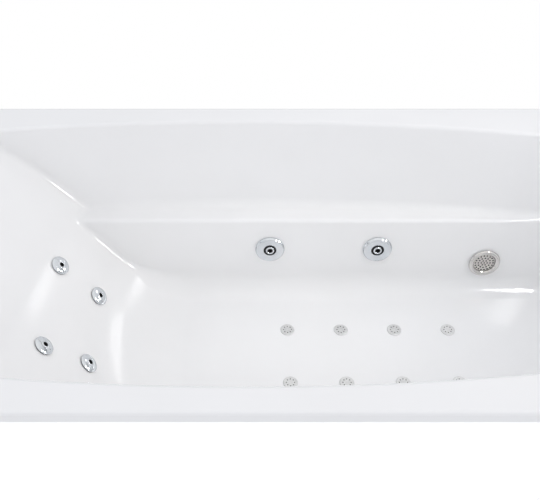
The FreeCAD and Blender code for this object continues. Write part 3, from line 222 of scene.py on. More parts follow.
def glass_fibre(name):
    """Resin-bonded chopped strand on the tub's back: crossed strands under uneven resin."""
    mat, tree, shader, coords = new_material(name)
    strands = noise(tree, coords, 34.0, 5.0, (1.0, 7.0, 7.0))
    crossed = noise(tree, coords, 30.0, 5.0, (7.0, 1.0, 5.0))
    mix = tree.nodes.new("ShaderNodeMath")
    mix.operation = "MAXIMUM"
    tree.links.new(strands, mix.inputs[0])
    tree.links.new(crossed, mix.inputs[1])
    colour = ramp(tree, mix.outputs["Value"], [(0.42, (0.60, 0.60, 0.50)), (0.66, (0.78, 0.77, 0.68))])
    tree.links.new(colour, shader.inputs["Base Color"])
    tree.links.new(spread(tree, noise(tree, coords, 12.0), 0.28, 0.60), shader.inputs["Roughness"])
    bump(tree, shader, mix.outputs["Value"], 0.6, 0.0012)
    return mat


def board(name):
    """Pressed wood board: pale chips and darker specks."""
    mat, tree, shader, coords = new_material(name)
    chips = noise(tree, coords, 130.0, 6.0, (1.0, 1.6, 1.0))
    colour = ramp(tree, chips, [(0.32, (0.34, 0.22, 0.11)), (0.52, (0.62, 0.46, 0.28)),
                                (0.72, (0.74, 0.60, 0.42))])
    tree.links.new(colour, shader.inputs["Base Color"])
    shader.inputs["Roughness"].default_value = 0.75
    bump(tree, shader, chips, 0.4, 0.0006)
    return mat


mats = {
    "white_acrylic": moulded("acrylic", (0.905, 0.905, 0.903), (0.925, 0.925, 0.925), (0.10, 0.16), 260.0,
                             0.00005, 0.6),
    "white_panel": moulded("panel_acrylic", (0.90, 0.90, 0.90), (0.93, 0.93, 0.93), (0.22, 0.30), 260.0),
    "chrome": metal("chrome", (0.68, 0.71, 0.74), (0.78, 0.80, 0.82), (0.03, 0.08), 25.0, None, 0.01),
    "suction_metal": metal("suction_metal", (0.66, 0.64, 0.62), (0.77, 0.75, 0.73), (0.04, 0.10), 25.0,
                           None, 0.01),
    "stainless": metal("stainless", (0.62, 0.59, 0.56), (0.76, 0.73, 0.70), (0.22, 0.34), 120.0,
                       (1.0, 1.0, 14.0), 0.08),
    "satin_injector": metal("satin_injector", (0.66, 0.66, 0.66), (0.78, 0.78, 0.78), (0.26, 0.38), 160.0),
    "dark_plastic": moulded("dark_plastic", (0.030, 0.031, 0.034), (0.050, 0.051, 0.055), (0.35, 0.50)),
    "white_pipe": moulded("white_pipe", (0.76, 0.76, 0.74), (0.82, 0.82, 0.80), (0.25, 0.36), 500.0),
    "clear_hose": moulded("air_hose", (0.50, 0.56, 0.60), (0.60, 0.66, 0.69), (0.18, 0.30), 400.0),
    "rubber": moulded("rubber", (0.020, 0.020, 0.020), (0.035, 0.035, 0.035), (0.6, 0.8)),
    "motor_paint": moulded("motor_paint", (0.045, 0.07, 0.11), (0.06, 0.09, 0.14), (0.30, 0.45), 500.0),
    "rotor_steel": moulded("rotor", (0.40, 0.41, 0.42), (0.50, 0.51, 0.52), (0.40, 0.55)),
    "galvanised": galvanised("galvanised"),
    "foot_metal": metal("foot_metal", (0.50, 0.51, 0.50), (0.64, 0.65, 0.64), (0.30, 0.45), 120.0),
    "board": board("board"),
    # Near-black paint for bore linings, the jets' groove ring and the pinhole and strainer-hole discs: painted
    # shade where a real hole or recess looks dark
    "hole_dark": moulded("hole_dark", (0.006, 0.006, 0.007), (0.012, 0.012, 0.013), (0.5, 0.7)),
    "fibre": glass_fibre("glass_fibre"),
}

slot_of = {row["node"]: row["material_slot"] for row in frame["record"]["subparts"]}
for name, node in nodes.items():
    node.data.materials.clear()
    node.data.materials.append(mats[slot_of[name]])


# ================================ Mesh helpers ================================

def mesh_from(name, points, quads, material, body="tub", normals=None):
    """Piece from an (n, 3) array of points in millimetres and an (m, 4) array of quads; points that
    coincide at seams and poles are merged."""
    data = bpy.data.meshes.new(name)
    data.vertices.add(len(points))
    data.vertices.foreach_set("co", (points / 1000.0).astype(np.float32).ravel())
    data.loops.add(quads.size)
    data.loops.foreach_set("vertex_index", quads.astype(np.int32).ravel())
    data.polygons.add(len(quads))
    data.polygons.foreach_set("loop_start", np.arange(0, quads.size, 4, dtype=np.int32))
    data.polygons.foreach_set("use_smooth", np.ones(len(quads), bool))
    data.update(calc_edges=True)
    if normals is not None:
        kept = data.attributes.new("surface_normal", "FLOAT_VECTOR", "POINT")
        kept.data.foreach_set("vector", normals.astype(np.float32).ravel())
    merged = bmesh.new()
    merged.from_mesh(data)
    bmesh.ops.remove_doubles(merged, verts=merged.verts, dist=MERGE)
    loose = [vertex for vertex in merged.verts if not vertex.link_faces]
    bmesh.ops.delete(merged, geom=loose, context="VERTS")
    merged.to_mesh(data)
    merged.free()
    if normals is not None:
        kept = data.attributes["surface_normal"]
        values = np.empty(len(data.vertices) * 3, np.float32)
        kept.data.foreach_get("vector", values)
        data.attributes.remove(kept)
        data.normals_split_custom_set_from_vertices(values.reshape(-1, 3))
    data.materials.append(material)
    piece = bpy.data.objects.new(name, data)
    bpy.context.scene.collection.objects.link(piece)
    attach(piece, body)
    return piece


def grid_quads(rows, columns, wrap=False):
    """Quads of a rows x columns grid of points; wrap joins the last column to the first."""
    index = np.arange(rows * columns).reshape(rows, columns)
    right = np.roll(index, -1, axis=1)
    if not wrap:
        index, right = index[:, :-1], right[:, :-1]
    return np.stack([index[:-1], right[:-1], right[1:], index[1:]], axis=-1).reshape(-1, 4)


def soft_profile(corners, steps=6):
    """Closed-form rounding of a polyline of (radius, height, rounding) corners: each corner becomes the
    curve (1-t)^2 A + 2t(1-t) P + t^2 B between the points A and B at its rounding from the corner P."""
    table = np.array(corners, float)
    spots, rounding = table[:, :2], table[:, 2]
    t = np.linspace(0, 1, steps)[:, None]
    pieces = [spots[:1]]
    for before, here, after, size in zip(spots[:-2], spots[1:-1], spots[2:], rounding[1:-1]):
        into, out = before - here, after - here
        start = here + into * min(size / np.linalg.norm(into), 0.49)
        end = here + out * min(size / np.linalg.norm(out), 0.49)
        pieces.append((1 - t) ** 2 * start + 2 * t * (1 - t) * here + t ** 2 * end)
    pieces.append(spots[-1:])
    return np.vstack(pieces)


def placement(origin, axis, side=(1.0, 0.0, 0.0)):
    """Origin and a 3 x 3 matrix whose columns are local X, Y and Z; Z is the axis, X near the side."""
    z = np.array(axis, float) / np.linalg.norm(axis)
    x = np.array(side, float) - z * np.dot(side, z)
    x /= np.linalg.norm(x)
    return np.array(origin, float), np.stack([x, np.cross(z, x), z], axis=1)


def turned_points(profile, segments, flutes=0, depth=0.0, band=None):
    """Surface of revolution P(s, a) = (r(s) cos a, r(s) sin a, z(s)) with r drawn in by
    depth * |cos(flutes a / 2)|^8 inside the height band."""
    angle = np.linspace(0, 2 * np.pi, segments, endpoint=False)
    radius, height = profile[:, :1], profile[:, 1:]
    if flutes:
        inside = (height > band[0]) & (height < band[1])
        radius = radius - inside * depth * np.abs(np.cos(flutes * angle / 2)) ** 8
    radius = radius + 0 * angle
    return np.stack([radius * np.cos(angle), radius * np.sin(angle), height + 0 * angle], axis=-1)


def lathe(name, corners, places, material, slot, body="tub", segments=96, **flutes):
    """Closed turned piece, repeated at each placement; the profile runs either between two points on
    the axis or round a loop, and is put in order so that the faces point outwards."""
    if corners[0][0] > 0:
        corners = corners + corners[:1]
    profile = soft_profile(corners)
    ahead = np.roll(profile, -1, axis=0)
    if np.sum(profile[:, 0] * ahead[:, 1] - ahead[:, 0] * profile[:, 1]) < 0:
        profile = profile[::-1]
    local = turned_points(profile, segments, **flutes)
    rows = len(local)
    local = local.reshape(-1, 3)
    quads = grid_quads(rows, segments, wrap=True)
    points = np.vstack([origin + local @ turn.T for origin, turn in places])
    faces = np.vstack([quads + i * len(local) for i in range(len(places))])
    return mesh_from(name, points, faces, material, body)


def joint_place(body):
    """Placement of a turning piece from its joint in the record."""
    joint = joints[body]
    return placement(np.array(joint["pos_m"]) * 1000.0, joint["axis"])


def circle_spots(radius, count, height):
    """(x, y, z) spots evenly round a circle: (R cos a, R sin a, height) with a = 2 pi i / count."""
    turn = 2 * np.pi * np.arange(count) / count
    return np.stack([radius * np.cos(turn), radius * np.sin(turn), np.full(count, height)], 1)


def painted_shade_dots(name, places, spots, profile, material, segments=16):
    """Small turned near-flat discs at (x, y, z) spots on each placement; with the near-black material they are
    painted shade standing in for holes.
    """
    local = turned_points(np.array(profile, float), segments)
    rows = len(local)
    local = local.reshape(-1, 3)
    all_local = (np.array(spots)[:, None, :] + local[None]).reshape(-1, 3)
    points = np.vstack([origin + all_local @ turn.T for origin, turn in places])
    count = len(spots) * len(places)
    quads = grid_quads(rows, segments, wrap=True)
    faces = (quads[None] + np.arange(count)[:, None, None] * len(local)).reshape(-1, 4)
    return mesh_from(name, points, faces, material)


# ================================ Bath shell ================================

def outline_distance(x, y, half, bow, foot, corner):
    """Distance inside a plan outline with bowed long sides: to the bow's circle, to the straight end or
    to the corner arc, whichever the point faces."""
    end = np.where(x > 0, foot, HEAD_END)
    ax, ay = np.abs(x), np.abs(y)
    across = end - corner
    rise = np.sqrt((bow - corner) ** 2 - across ** 2)
    centre_y = half - bow + rise
    from_centre = ay - (half - bow)
    to_side = bow - np.hypot(ax, from_centre)
    to_end = end - ax
    to_corner = corner - np.hypot(ax - across, ay - centre_y)
    beside = ax * rise < across * from_centre
    above = ay < centre_y
    return np.where(beside & above, np.minimum(to_side, to_end),
                    np.where(beside, to_side, np.where(above, to_end, to_corner)))


def join_round(a, b, radius):
    """Distance to two solids joined with a fillet: max(R, min(a, b)) - |(max(R-a,0), max(R-b,0))|."""
    short_a = np.maximum(radius - a, 0)
    short_b = np.maximum(radius - b, 0)
    return np.maximum(radius, np.minimum(a, b)) - np.hypot(short_a, short_b)


def meet_round(a, b, radius):
    """Distance to where two solids overlap, with the shared edge rounded:
    min(-R, max(a, b)) + |(max(R+a,0), max(R+b,0))|."""
    over_a = np.maximum(radius + a, 0)
    over_b = np.maximum(radius + b, 0)
    return np.minimum(-radius, np.maximum(a, b)) + np.hypot(over_a, over_b)


toe_angle = math.radians(BACK_TOE_SLOPE)
mean_angle = math.radians(BACK_DISH_SLOPE)
toe_normal = np.array([math.sin(toe_angle), math.cos(toe_angle)])
back_centre = np.array([-BACK_TOE, FLOOR]) - BACK_CURVE * toe_normal
back_normal = np.array([math.sin(mean_angle), math.cos(mean_angle)])
back_axis = np.array([math.cos(mean_angle), -math.sin(mean_angle)])
dish_point = back_centre + back_normal * (BACK_CURVE + BACK_DISH)


def back_distance(x, y, z):
    """Distance in front of the backrest: a circular lumbar curve swept round the dish's axis."""
    dx, dz = x - dish_point[0], z - dish_point[1]
    along = dx * back_axis[0] + dz * back_axis[1]
    outward = dx * back_normal[0] + dz * back_normal[1]
    radial = np.hypot(outward, y)
    return np.hypot(along, BACK_CURVE + BACK_DISH - radial) - BACK_CURVE


def fade_in(value, start, length):
    """0 before the start and 1 after start + length, with t^2 (3 - 2t) between them."""
    t = np.clip((value - start) / length, 0.0, 1.0)
    return t * t * (3 - 2 * t)


def shell_distance(x, y, z, plan):
    """Signed distance from the tub's inner skin, positive in the open basin.  A wall's distance is drawn
    evenly between its outlines at top and bottom, and the fillets shrink to a crease at the backrest."""
    mouth, ledge, step, floor = plan
    upper = (ledge + (mouth - ledge) * (z - LEDGE) / (RIM - LEDGE)) * UPPER_LEAN_COS
    lower = (floor + (step - floor) * (z - FLOOR) / (LEDGE - FLOOR)) * LOWER_LEAN_COS
    back = back_distance(x, y, z)
    lower_side = meet_round(lower, z - LEDGE, EDGE_ROUND)
    upper_side = meet_round(upper, z - RIM, EDGE_ROUND)
    backrest = meet_round(back, z - RIM, EDGE_ROUND)
    bottom = join_round(z - FLOOR, backrest, TOE_FILLET)
    creased = (1 - fade_in(back, start=15.0, length=80.0)) * fade_in(z - FLOOR, start=15.0, length=70.0)
    base = join_round(bottom, lower_side, FLOOR_FILLET - (FLOOR_FILLET - CREASE_ROUND) * creased)
    growth = fade_in(back, start=20.0, length=60.0)
    return join_round(base, upper_side, CREASE_ROUND + (LEDGE_FILLET - CREASE_ROUND) * growth)


def plan_distances(x, y):
    """Distances inside the four outlines: the rim, the back of the ledge, its front and the floor."""
    return (outline_distance(x, y, RIM_HALF, RIM_BOW, FOOT_X, RIM_CORNER),
            outline_distance(x, y, LEDGE_HALF, LEDGE_BOW, LEDGE_FOOT_X, LEDGE_CORNER),
            outline_distance(x, y, STEP_HALF, NO_BOW, STEP_FOOT_X, FLOOR_CORNER),
            outline_distance(x, y, FLOOR_HALF, NO_BOW, FLOOR_FOOT_X, FLOOR_CORNER))


def shell_height(x, y):
    """Height of the inner skin over the plan, by bisection on the distance."""
    below_floor, above_rim, halvings = 4.0, 0.5, 26
    plan = plan_distances(x, y)
    low, high = np.full(x.shape, FLOOR - below_floor), np.full(x.shape, RIM + above_rim)
    for _ in range(halvings):
        middle = (low + high) / 2
        solid = shell_distance(x, y, middle, plan) < 0
        low, high = np.where(solid, middle, low), np.where(solid, high, middle)
    return (low + high) / 2


def shell_normal(x, y, z):
    """Unit gradient of the distance by central differences."""
    h = 0.05
    parts = []
    for dx, dy, dz in ((h, 0, 0), (0, h, 0), (0, 0, h)):
        ahead = shell_distance(x + dx, y + dy, z + dz, plan_distances(x + dx, y + dy))
        behind = shell_distance(x - dx, y - dy, z - dz, plan_distances(x - dx, y - dy))
        parts.append(ahead - behind)
    normal = np.stack(parts, axis=-1)
    return normal / np.linalg.norm(normal, axis=-1, keepdims=True)


def stations(*runs):
    """Grid lines from (start, end, spacing) runs."""
    lines = [np.arange(start, end - spacing * 0.3, spacing) for start, end, spacing in runs]
    return np.concatenate(lines + [[runs[-1][1]]])


# The grid ends where the lip's corner fans begin, and its lines run straight from DECK_Y outwards
SIDE_X = LENGTH / 2 - LIP_CORNER
SIDE_Y = WIDTH / 2 - LIP_CORNER
DECK_Y = 356.0
BOW_REACH = 800.0


def shell_grid(coarse):
    """Plan grid whose long lines follow the bowed rim and ledge, with closer lines on the walls."""
    x = stations((-SIDE_X, -640, 12 * coarse), (-640, -180, 4 * coarse), (-180, 700, 5 * coarse),
                 (700, 790, 3 * coarse), (790, 858, 1.6 * coarse), (858, SIDE_X, 5 * coarse))
    bands = [(0, 150, 6, 0), (150, FLOOR_HALF, 3.2, 0), (FLOOR_HALF, STEP_HALF, 1.0, 0),
             (STEP_HALF, LEDGE_HALF, 2.5, 1), (LEDGE_HALF, RIM_HALF, 1.7, 2), (RIM_HALF, DECK_Y, 0.9, 3),
             (DECK_Y, SIDE_Y, 4, 4)]
    half_lines, share = [], []
    for start, end, spacing, zone in bands:
        line = np.arange(start, end - 0.3 * spacing * coarse, spacing * coarse)
        half_lines.append(line)
        share.append(np.full(len(line), zone))
    line = np.concatenate(half_lines + [[SIDE_Y]])
    zone = np.concatenate(share + [[4]])
    reach = np.minimum(np.abs(x), BOW_REACH)[:, None]
    ledge_shift = reach ** 2 / (2 * LEDGE_BOW)
    rim_shift = reach ** 2 / (2 * RIM_BOW)
    part = np.clip((line - STEP_HALF) / (LEDGE_HALF - STEP_HALF), 0, 1)
    wall = np.clip((line - LEDGE_HALF) / (RIM_HALF - LEDGE_HALF), 0, 1)
    deck = np.clip((line - DECK_Y) / (SIDE_Y - DECK_Y), 0, 1)
    shift = np.where(zone <= 1, ledge_shift * part,
                     (ledge_shift + (rim_shift - ledge_shift) * wall) * (1 - deck))
    y_half = line[None, :] - shift
    y = np.concatenate([-y_half[:, :0:-1], y_half], axis=1)
    return x[:, None] + 0 * y, y


def lip_points(x_lines, y_lines, drop_steps, inset):
    """Rim edge outside the grid: the grid's border pushed out by the lip's rounded section, with quarter
    fans at the four corners.  Returns (steps, path, 3) points and their outward directions."""
    fan = np.radians(np.linspace(0, 90, 13))
    sides = []
    for points, direction in (
            (np.stack([x_lines, np.full(len(x_lines), -SIDE_Y)], 1), -90),
            (np.stack([np.full(len(y_lines), SIDE_X), y_lines], 1), 0),
            (np.stack([x_lines[::-1], np.full(len(x_lines), SIDE_Y)], 1), 90),
            (np.stack([np.full(len(y_lines), -SIDE_X), y_lines[::-1]], 1), 180)):
        turn = np.full(len(points), math.radians(direction))
        corner_turn = fan[1:-1] + math.radians(direction)
        sides.append(np.concatenate([points, np.repeat(points[-1:], len(corner_turn), 0)]))
        sides.append(np.concatenate([turn, corner_turn]))
    path = np.concatenate(sides[0::2])
    turn = np.concatenate(sides[1::2])
    outward = np.stack([np.cos(turn), np.sin(turn)], 1)
    radius = LIP_ROUND - inset
    full = LIP_CORNER - inset
    bend = np.radians(np.linspace(0, 90, 7))
    rounded = full - radius + radius * np.sin(bend)
    reach = np.concatenate([[0.0, (full - radius) / 2], rounded, [full, full]])
    height = np.concatenate([[0.0, 0.0], radius * np.cos(bend) - radius, -(radius + drop_steps)])
    points = np.empty((len(reach), len(path), 3))
    points[..., :2] = path + reach[:, None, None] * outward
    points[..., 2] = RIM - inset + height[:, None]
    lean = np.concatenate([[0.0, 0.0], bend, [bend[-1]] * 2])
    normals = np.empty_like(points)
    normals[..., :2] = np.sin(lean)[:, None, None] * outward
    normals[..., 2] = np.cos(lean)[:, None]
    return points, normals


# Placements of the fittings, then the holes behind them as (placement, radius)
wall_axis = np.array([0.0, -math.cos(LOWER_LEAN), math.sin(LOWER_LEAN)])
suction_y = FLOOR_HALF + (STEP_HALF - FLOOR_HALF) * SUCTION_UP / (LEDGE - FLOOR)
suction_place = placement((SUCTION_X, suction_y, FLOOR + SUCTION_UP), wall_axis)
overflow_place = joint_place("overflow_knob")
injector_places = [placement((INJECTOR_START + INJECTOR_PITCH * i, side * INJECTOR_ROW, FLOOR), (0, 0, 1))
                   for side in (1, -1) for i in range(INJECTORS_PER_ROW)]
waste_low, waste_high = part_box("waste_flange")
waste_place = placement((500.0 * (waste_low[0] + waste_high[0]), 0.0, FLOOR), (0, 0, 1))
ring_names = ["side_jet_ring_%d" % i for i in range(1, 5)]
nozzle_names = ["side_jet_nozzle_%d" % i for i in range(1, 5)]
cap_names = ["back_jet_cap_%d" % i for i in range(1, 5)]
dial_names = ["air_knob_far", "air_knob_near"]
button_places = [placement((BUTTON_X, side * BUTTON_Y, RIM), (0, 0, 1)) for side in (1, -1)]
hole_list = [(joint_place(name), SIDE_JET_HOLE) for name in ring_names]
hole_list += [(joint_place(name), BACK_JET_HOLE) for name in cap_names]
hole_list += [(place, INJECTOR_HOLE) for place in injector_places]
hole_list += [(joint_place(name), CONTROL_HOLE) for name in dial_names]
hole_list += [(place, CONTROL_HOLE) for place in button_places]
hole_list += [(suction_place, SUCTION_HOLE), (overflow_place, OVERFLOW_HOLE), (waste_place, WASTE_HOLE)]
HOLE_DEPTH = 30.0           # only the skin this close to a fitting is opened
BACKING_HOLE_EXTRA = 0.8    # the backing's holes are wider by this
SNAP_SPACING = 1.6          # grid points this near to a hole's circle move onto it
ON_CIRCLE = 1e-6


def open_holes(points, quads, spacing, extra):
    """Move the points next to each hole's circle onto it and drop the quads inside it."""
    for (origin, turn), radius in hole_list:
        radius = radius + extra
        local = (points - origin) @ turn
        distance = np.hypot(local[:, 0], local[:, 1])
        close = np.abs(local[:, 2]) < HOLE_DEPTH
        snap = close & (np.abs(distance - radius) < spacing) & (distance > ON_CIRCLE)
        scale = np.where(snap, radius / np.maximum(distance, ON_CIRCLE), 1.0)
        local[:, :2] *= scale[:, None]
        points = np.where(snap[:, None], origin + local @ turn.T, points)
        distance = np.where(snap, radius, distance)
        inside = close & (distance <= radius + ON_CIRCLE)
        quads = quads[~inside[quads].all(axis=1)]
    return points, quads


def make_skin(name, coarse, inset, material, drop, facing):
    """One skin of the tub: the height field over the plan grid moved back along its normals by the inset,
    and the rim's turned-down edge."""
    x, y = shell_grid(coarse)
    z = shell_height(x, y)
    normal = shell_normal(x, y, z)
    field = np.stack([x, y, z], axis=-1) - inset * normal
    rows, columns = x.shape
    field[[0, -1], :, :2] = np.stack([x, y], -1)[[0, -1]]
    field[:, [0, -1], :2] = np.stack([x, y], -1)[:, [0, -1]]
    grid = grid_quads(rows, columns)
    edge, edge_normals = lip_points(x[:, 0], y[0], np.array([drop / 3, drop]), inset)
    steps, count = edge.shape[:2]
    edge_quads = grid_quads(steps, count, wrap=True) + rows * columns
    points = np.vstack([field.reshape(-1, 3), edge.reshape(-1, 3)])
    normals = np.vstack([normal.reshape(-1, 3), edge_normals.reshape(-1, 3)])
    quads = np.vstack([grid, edge_quads])
    points, quads = open_holes(points, quads, SNAP_SPACING * coarse, BACKING_HOLE_EXTRA * inset / WALL)
    if facing > 0:
        quads = quads[:, ::-1]
    else:
        normals = -normals
    return mesh_from(name, points, quads, material, normals=normals)


lip_fall = LIP_DROP - LIP_ROUND - LIP_SHORT
skin = make_skin("bath_shell_acrylic", 1.0, 0.0, mats["white_acrylic"], lip_fall, 1)
backing = make_skin("bath_shell_backing", 2.0, WALL, mats["fibre"], lip_fall, -1)
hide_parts("bath_shell")
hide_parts("bath_shell")


# ================================ Fittings ================================
# A profile's corners are (radius, height over the seat, rounding) in millimetres.

def side_jet(ring_name, nozzle_name):
    """Flat face ring with a bevelled rim, and the eyeball nozzle with a sunk step round its mouth; a near-black
    ring on that step and a near-black lining in the bore are painted shade.
    """
    ring = [(32.4, 1.2, 0), (34.5, 1.2, 0.2), (34.4, 4.4, 1.0), (31.8, 8.0, 0.8), (30.4, 8.7, 0.5),
            (16.2, 8.2, 0.5), (14.9, 7.4, 0.5), (14.9, 6.2, 0.3), (17.2, 2.0, 0.5), (17.2, -18.0, 0)]
    nozzle = [(6.0, -15.0, 0), (6.0, 8.9, 0.4), (6.8, 9.9, 0.5), (9.0, 9.8, 0.8), (10.2, 8.4, 0.8),
              (10.3, 4.2, 0.3), (14.8, 4.2, 0.4), (16.3, -1.0, 3.0), (16.4, -6.0, 3.0), (13.0, -12.5, 3.0),
              (9.5, -16.0, 0)]
    bore = [(0.0, -14.9, 0), (5.95, -14.9, 0.1), (5.95, 8.2, 0.1), (5.3, 8.0, 0.1), (5.2, -14.2, 0.1),
            (0.0, -14.3, 0)]
    # A thin ring lying on the nozzle's step, drawn near-black as painted shade of the recess
    groove = [(10.35, 4.25, 0), (14.4, 4.25, 0.1), (14.4, 5.2, 0.1), (10.35, 5.4, 0.1)]
    place = joint_place(ring_name)
    piece = lathe(ring_name + "_chrome", ring, [place], mats["chrome"], "chrome", ring_name)
    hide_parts(ring_name)
    piece = lathe(nozzle_name + "_chrome", nozzle, [place], mats["chrome"], "chrome", nozzle_name)
    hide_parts(nozzle_name)
    # Painted shade: the bore's lining and the groove ring are near-black where the recesses are only dark by shade
    lathe(nozzle_name + "_bore_painted_shade", bore, [place], mats["hole_dark"], "chrome", nozzle_name, segments=48)
    lathe(nozzle_name + "_groove_painted_shade", groove, [place], mats["hole_dark"], "chrome", nozzle_name)


def back_jet_cap(cap_name):
    """Wide domed cap with a raised lip round its centre hole, whose inside is lined near-black as painted shade.
    """
    cap = [(5.2, -4.0, 0), (5.2, 8.4, 0.3), (5.9, 9.2, 0.4), (7.2, 9.2, 0.4), (8.2, 8.0, 0.6),
           (11.0, 7.7, 1.5), (17.4, 6.2, 3.0), (20.9, 4.0, 1.0), (21.45, 2.92, 0.3), (9.0, 2.92, 0)]
    bore = [(0.0, -3.9, 0), (5.15, -3.9, 0.1), (5.15, 8.1, 0.1), (4.6, 7.9, 0.1), (4.5, 2.0, 0.1),
            (0.0, 1.9, 0)]
    place = joint_place(cap_name)
    piece = lathe(cap_name + "_chrome", cap, [place], mats["chrome"], "chrome", cap_name)
    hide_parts(cap_name)
    # Painted shade: the bore's lining is near-black because the hole is dark by shade
    lathe(cap_name + "_bore_painted_shade", bore, [place], mats["hole_dark"], "chrome", cap_name, segments=32)


def injectors():
    """Thin raised discs on their stems, with a ring of pinholes in each face drawn as near-black discs: painted
    shade, not open holes.
    """
    pinholes, pinhole_ring, pinhole_up = 8, 9.0, 2.13
    profile = [(0.0, -28.7, 0), (7.5, -28.7, 0.5), (7.5, 0.1, 0.05), (16.5, 0.15, 0), (16.45, 1.3, 0.5),
               (15.4, 2.2, 0.7), (14.0, 2.38, 0.3), (12.6, 2.0, 0.4), (4.0, 2.2, 0.5), (0.0, 2.3, 0)]
    piece = lathe("injector_faces", profile, injector_places, mats["satin_injector"], "satin_injector",
                  segments=72)
    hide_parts("air_injectors")
    # Painted shade: near-black discs where the pinholes are
    painted_shade_dots("injector_pinholes_painted_shade", injector_places, circle_spots(pinhole_ring, pinholes, pinhole_up),
         [(0.0, 0.02), (1.25, 0.03), (1.35, -0.1)], mats["hole_dark"])


def suction_fitting():
    """Rounded trim ring round a strainer whose rings of round holes are near-black discs on the plate: painted
    shade, not open holes.
    """
    hole_rings, ring_pitch, hole_up = 3, 7.0, 3.12
    ring = [(37.4, 3.2, 0), (37.3, 4.4, 0.8), (35.8, 7.4, 1.8), (31.6, 8.9, 2.4), (27.8, 7.6, 1.6),
            (25.4, 4.9, 0.6), (25.3, 3.1, 0)]
    strainer = [(25.0, 1.2, 0), (25.0, 2.6, 0.3), (24.4, 3.0, 0.3), (12.0, 3.1, 1.0), (0.0, 3.15, 0)]
    piece = lathe("suction_ring_chrome", ring, [suction_place], mats["suction_metal"], "chrome",
                  segments=128)
    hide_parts("suction_trim_ring")
    piece = lathe("suction_strainer_plate", strainer, [suction_place], mats["stainless"], "stainless")
    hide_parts("suction_strainer")
    spots = [circle_spots(0.0, 1, hole_up)]
    spots += [circle_spots(ring_pitch * k, 6 * k, hole_up) for k in range(1, hole_rings + 1)]
    # Painted shade: near-black discs on the strainer plate where its holes are
    painted_shade_dots("suction_strainer_holes_painted_shade", [suction_place], np.vstack(spots),
         [(0.0, 0.03), (2.0, 0.05), (2.15, -0.12)], mats["hole_dark"])


def air_knob(dial_name):
    """Fluted knob with a flat, slightly raised top."""
    knob = [(0.0, 15.2, 0), (15.0, 15.2, 0.5), (16.2, 14.4, 0.6), (20.0, 14.4, 0.8), (23.2, 12.2, 1.6),
            (23.8, 6.0, 1.0), (23.9, 2.5, 0.3), (8.0, 2.4, 0)]
    place = joint_place(dial_name)
    piece = lathe(dial_name + "_chrome", knob, [place], mats["chrome"], "chrome", dial_name, segments=192,
                  flutes=24, depth=1.1, band=(2.5, 13.5))
    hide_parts(dial_name)


def push_button(side_name, place):
    """Low domed button."""
    button = [(0.0, 7.6, 0), (8.0, 7.5, 2.0), (14.0, 7.0, 1.2), (15.6, 5.6, 0.8), (15.65, -0.8, 0.3),
              (5.0, -1.0, 0)]
    piece = lathe(side_name + "_chrome", button, [place], mats["chrome"], "chrome", side_name)
    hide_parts(side_name)


def overflow_knob():
    """Turning knob with five wide finger hollows and a sunk middle."""
    knob = [(0.0, 13.2, 0), (12.8, 13.2, 0.5), (15.4, 14.8, 0.8), (29.0, 14.8, 1.2), (35.0, 11.2, 2.0),
            (35.9, 8.0, 1.0), (35.9, 4.4, 0.3), (8.0, 4.4, 0)]
    piece = lathe("overflow_knob_chrome", knob, [overflow_place], mats["chrome"], "chrome",
                  "overflow_knob", segments=192, flutes=5, depth=2.4, band=(4.0, 11.0))
    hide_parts("overflow_knob")


def waste_plug():
    """Low domed plug on its stem."""
    plug = [(0.0, 5.4, 0), (14.0, 5.0, 3.0), (20.0, 4.3, 1.4), (22.5, 2.5, 0.4), (21.1, -1.0, 0.3),
            (18.0, -1.9, 0.3), (4.0, -1.9, 0.2), (4.0, -42.0, 0)]
    piece = lathe("waste_plug_chrome", plug, [waste_place], mats["chrome"], "chrome", "waste_plug")
    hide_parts("waste_plug")


for ring_name, nozzle_name in zip(ring_names, nozzle_names):
    side_jet(ring_name, nozzle_name)
for cap_name in cap_names:
    back_jet_cap(cap_name)
injectors()
suction_fitting()
for dial_name in dial_names:
    air_knob(dial_name)
for side_name, place in zip(("button_far", "button_near"), button_places):
    push_button(side_name, place)
overflow_knob()
waste_plug()


# ================================ Stage, lights and camera ================================

STAGE_HALF = 9.0
STAGE_DROP = -0.001         # just under the feet


def stage_plane(name, corners, material):
    """Flat sheet that isn't part of the object."""
    data = bpy.data.meshes.new(name)
    data.from_pydata(corners, [], [(0, 1, 2, 3)])
    data.materials.append(material)
    plane = bpy.data.objects.new(name, data)
    bpy.context.scene.collection.objects.link(plane)


def floor_material():
    """Pale floor that the camera sees as plain white."""
    mat, tree, shader, coords = new_material("floor")
    tone = ramp(tree, noise(tree, coords, 3.0), [(0.3, (0.80, 0.80, 0.80)), (0.7, (0.82, 0.82, 0.82))])
    tree.links.new(tone, shader.inputs["Base Color"])
    shader.inputs["Roughness"].default_value = 0.8
    glow = tree.nodes.new("ShaderNodeEmission")
    path = tree.nodes.new("ShaderNodeLightPath")
    mix = tree.nodes.new("ShaderNodeMixShader")
    tree.links.new(path.outputs["Is Camera Ray"], mix.inputs["Fac"])
    tree.links.new(shader.outputs["BSDF"], mix.inputs[1])
    tree.links.new(glow.outputs["Emission"], mix.inputs[2])
    tree.links.new(mix.outputs["Shader"], tree.nodes["Material Output"].inputs["Surface"])
    return mat


stage_corners = [(x * STAGE_HALF, y * STAGE_HALF, STAGE_DROP)
                 for x, y in ((-1, -1), (1, -1), (1, 1), (-1, 1))]
stage_plane("floor", stage_corners, floor_material())


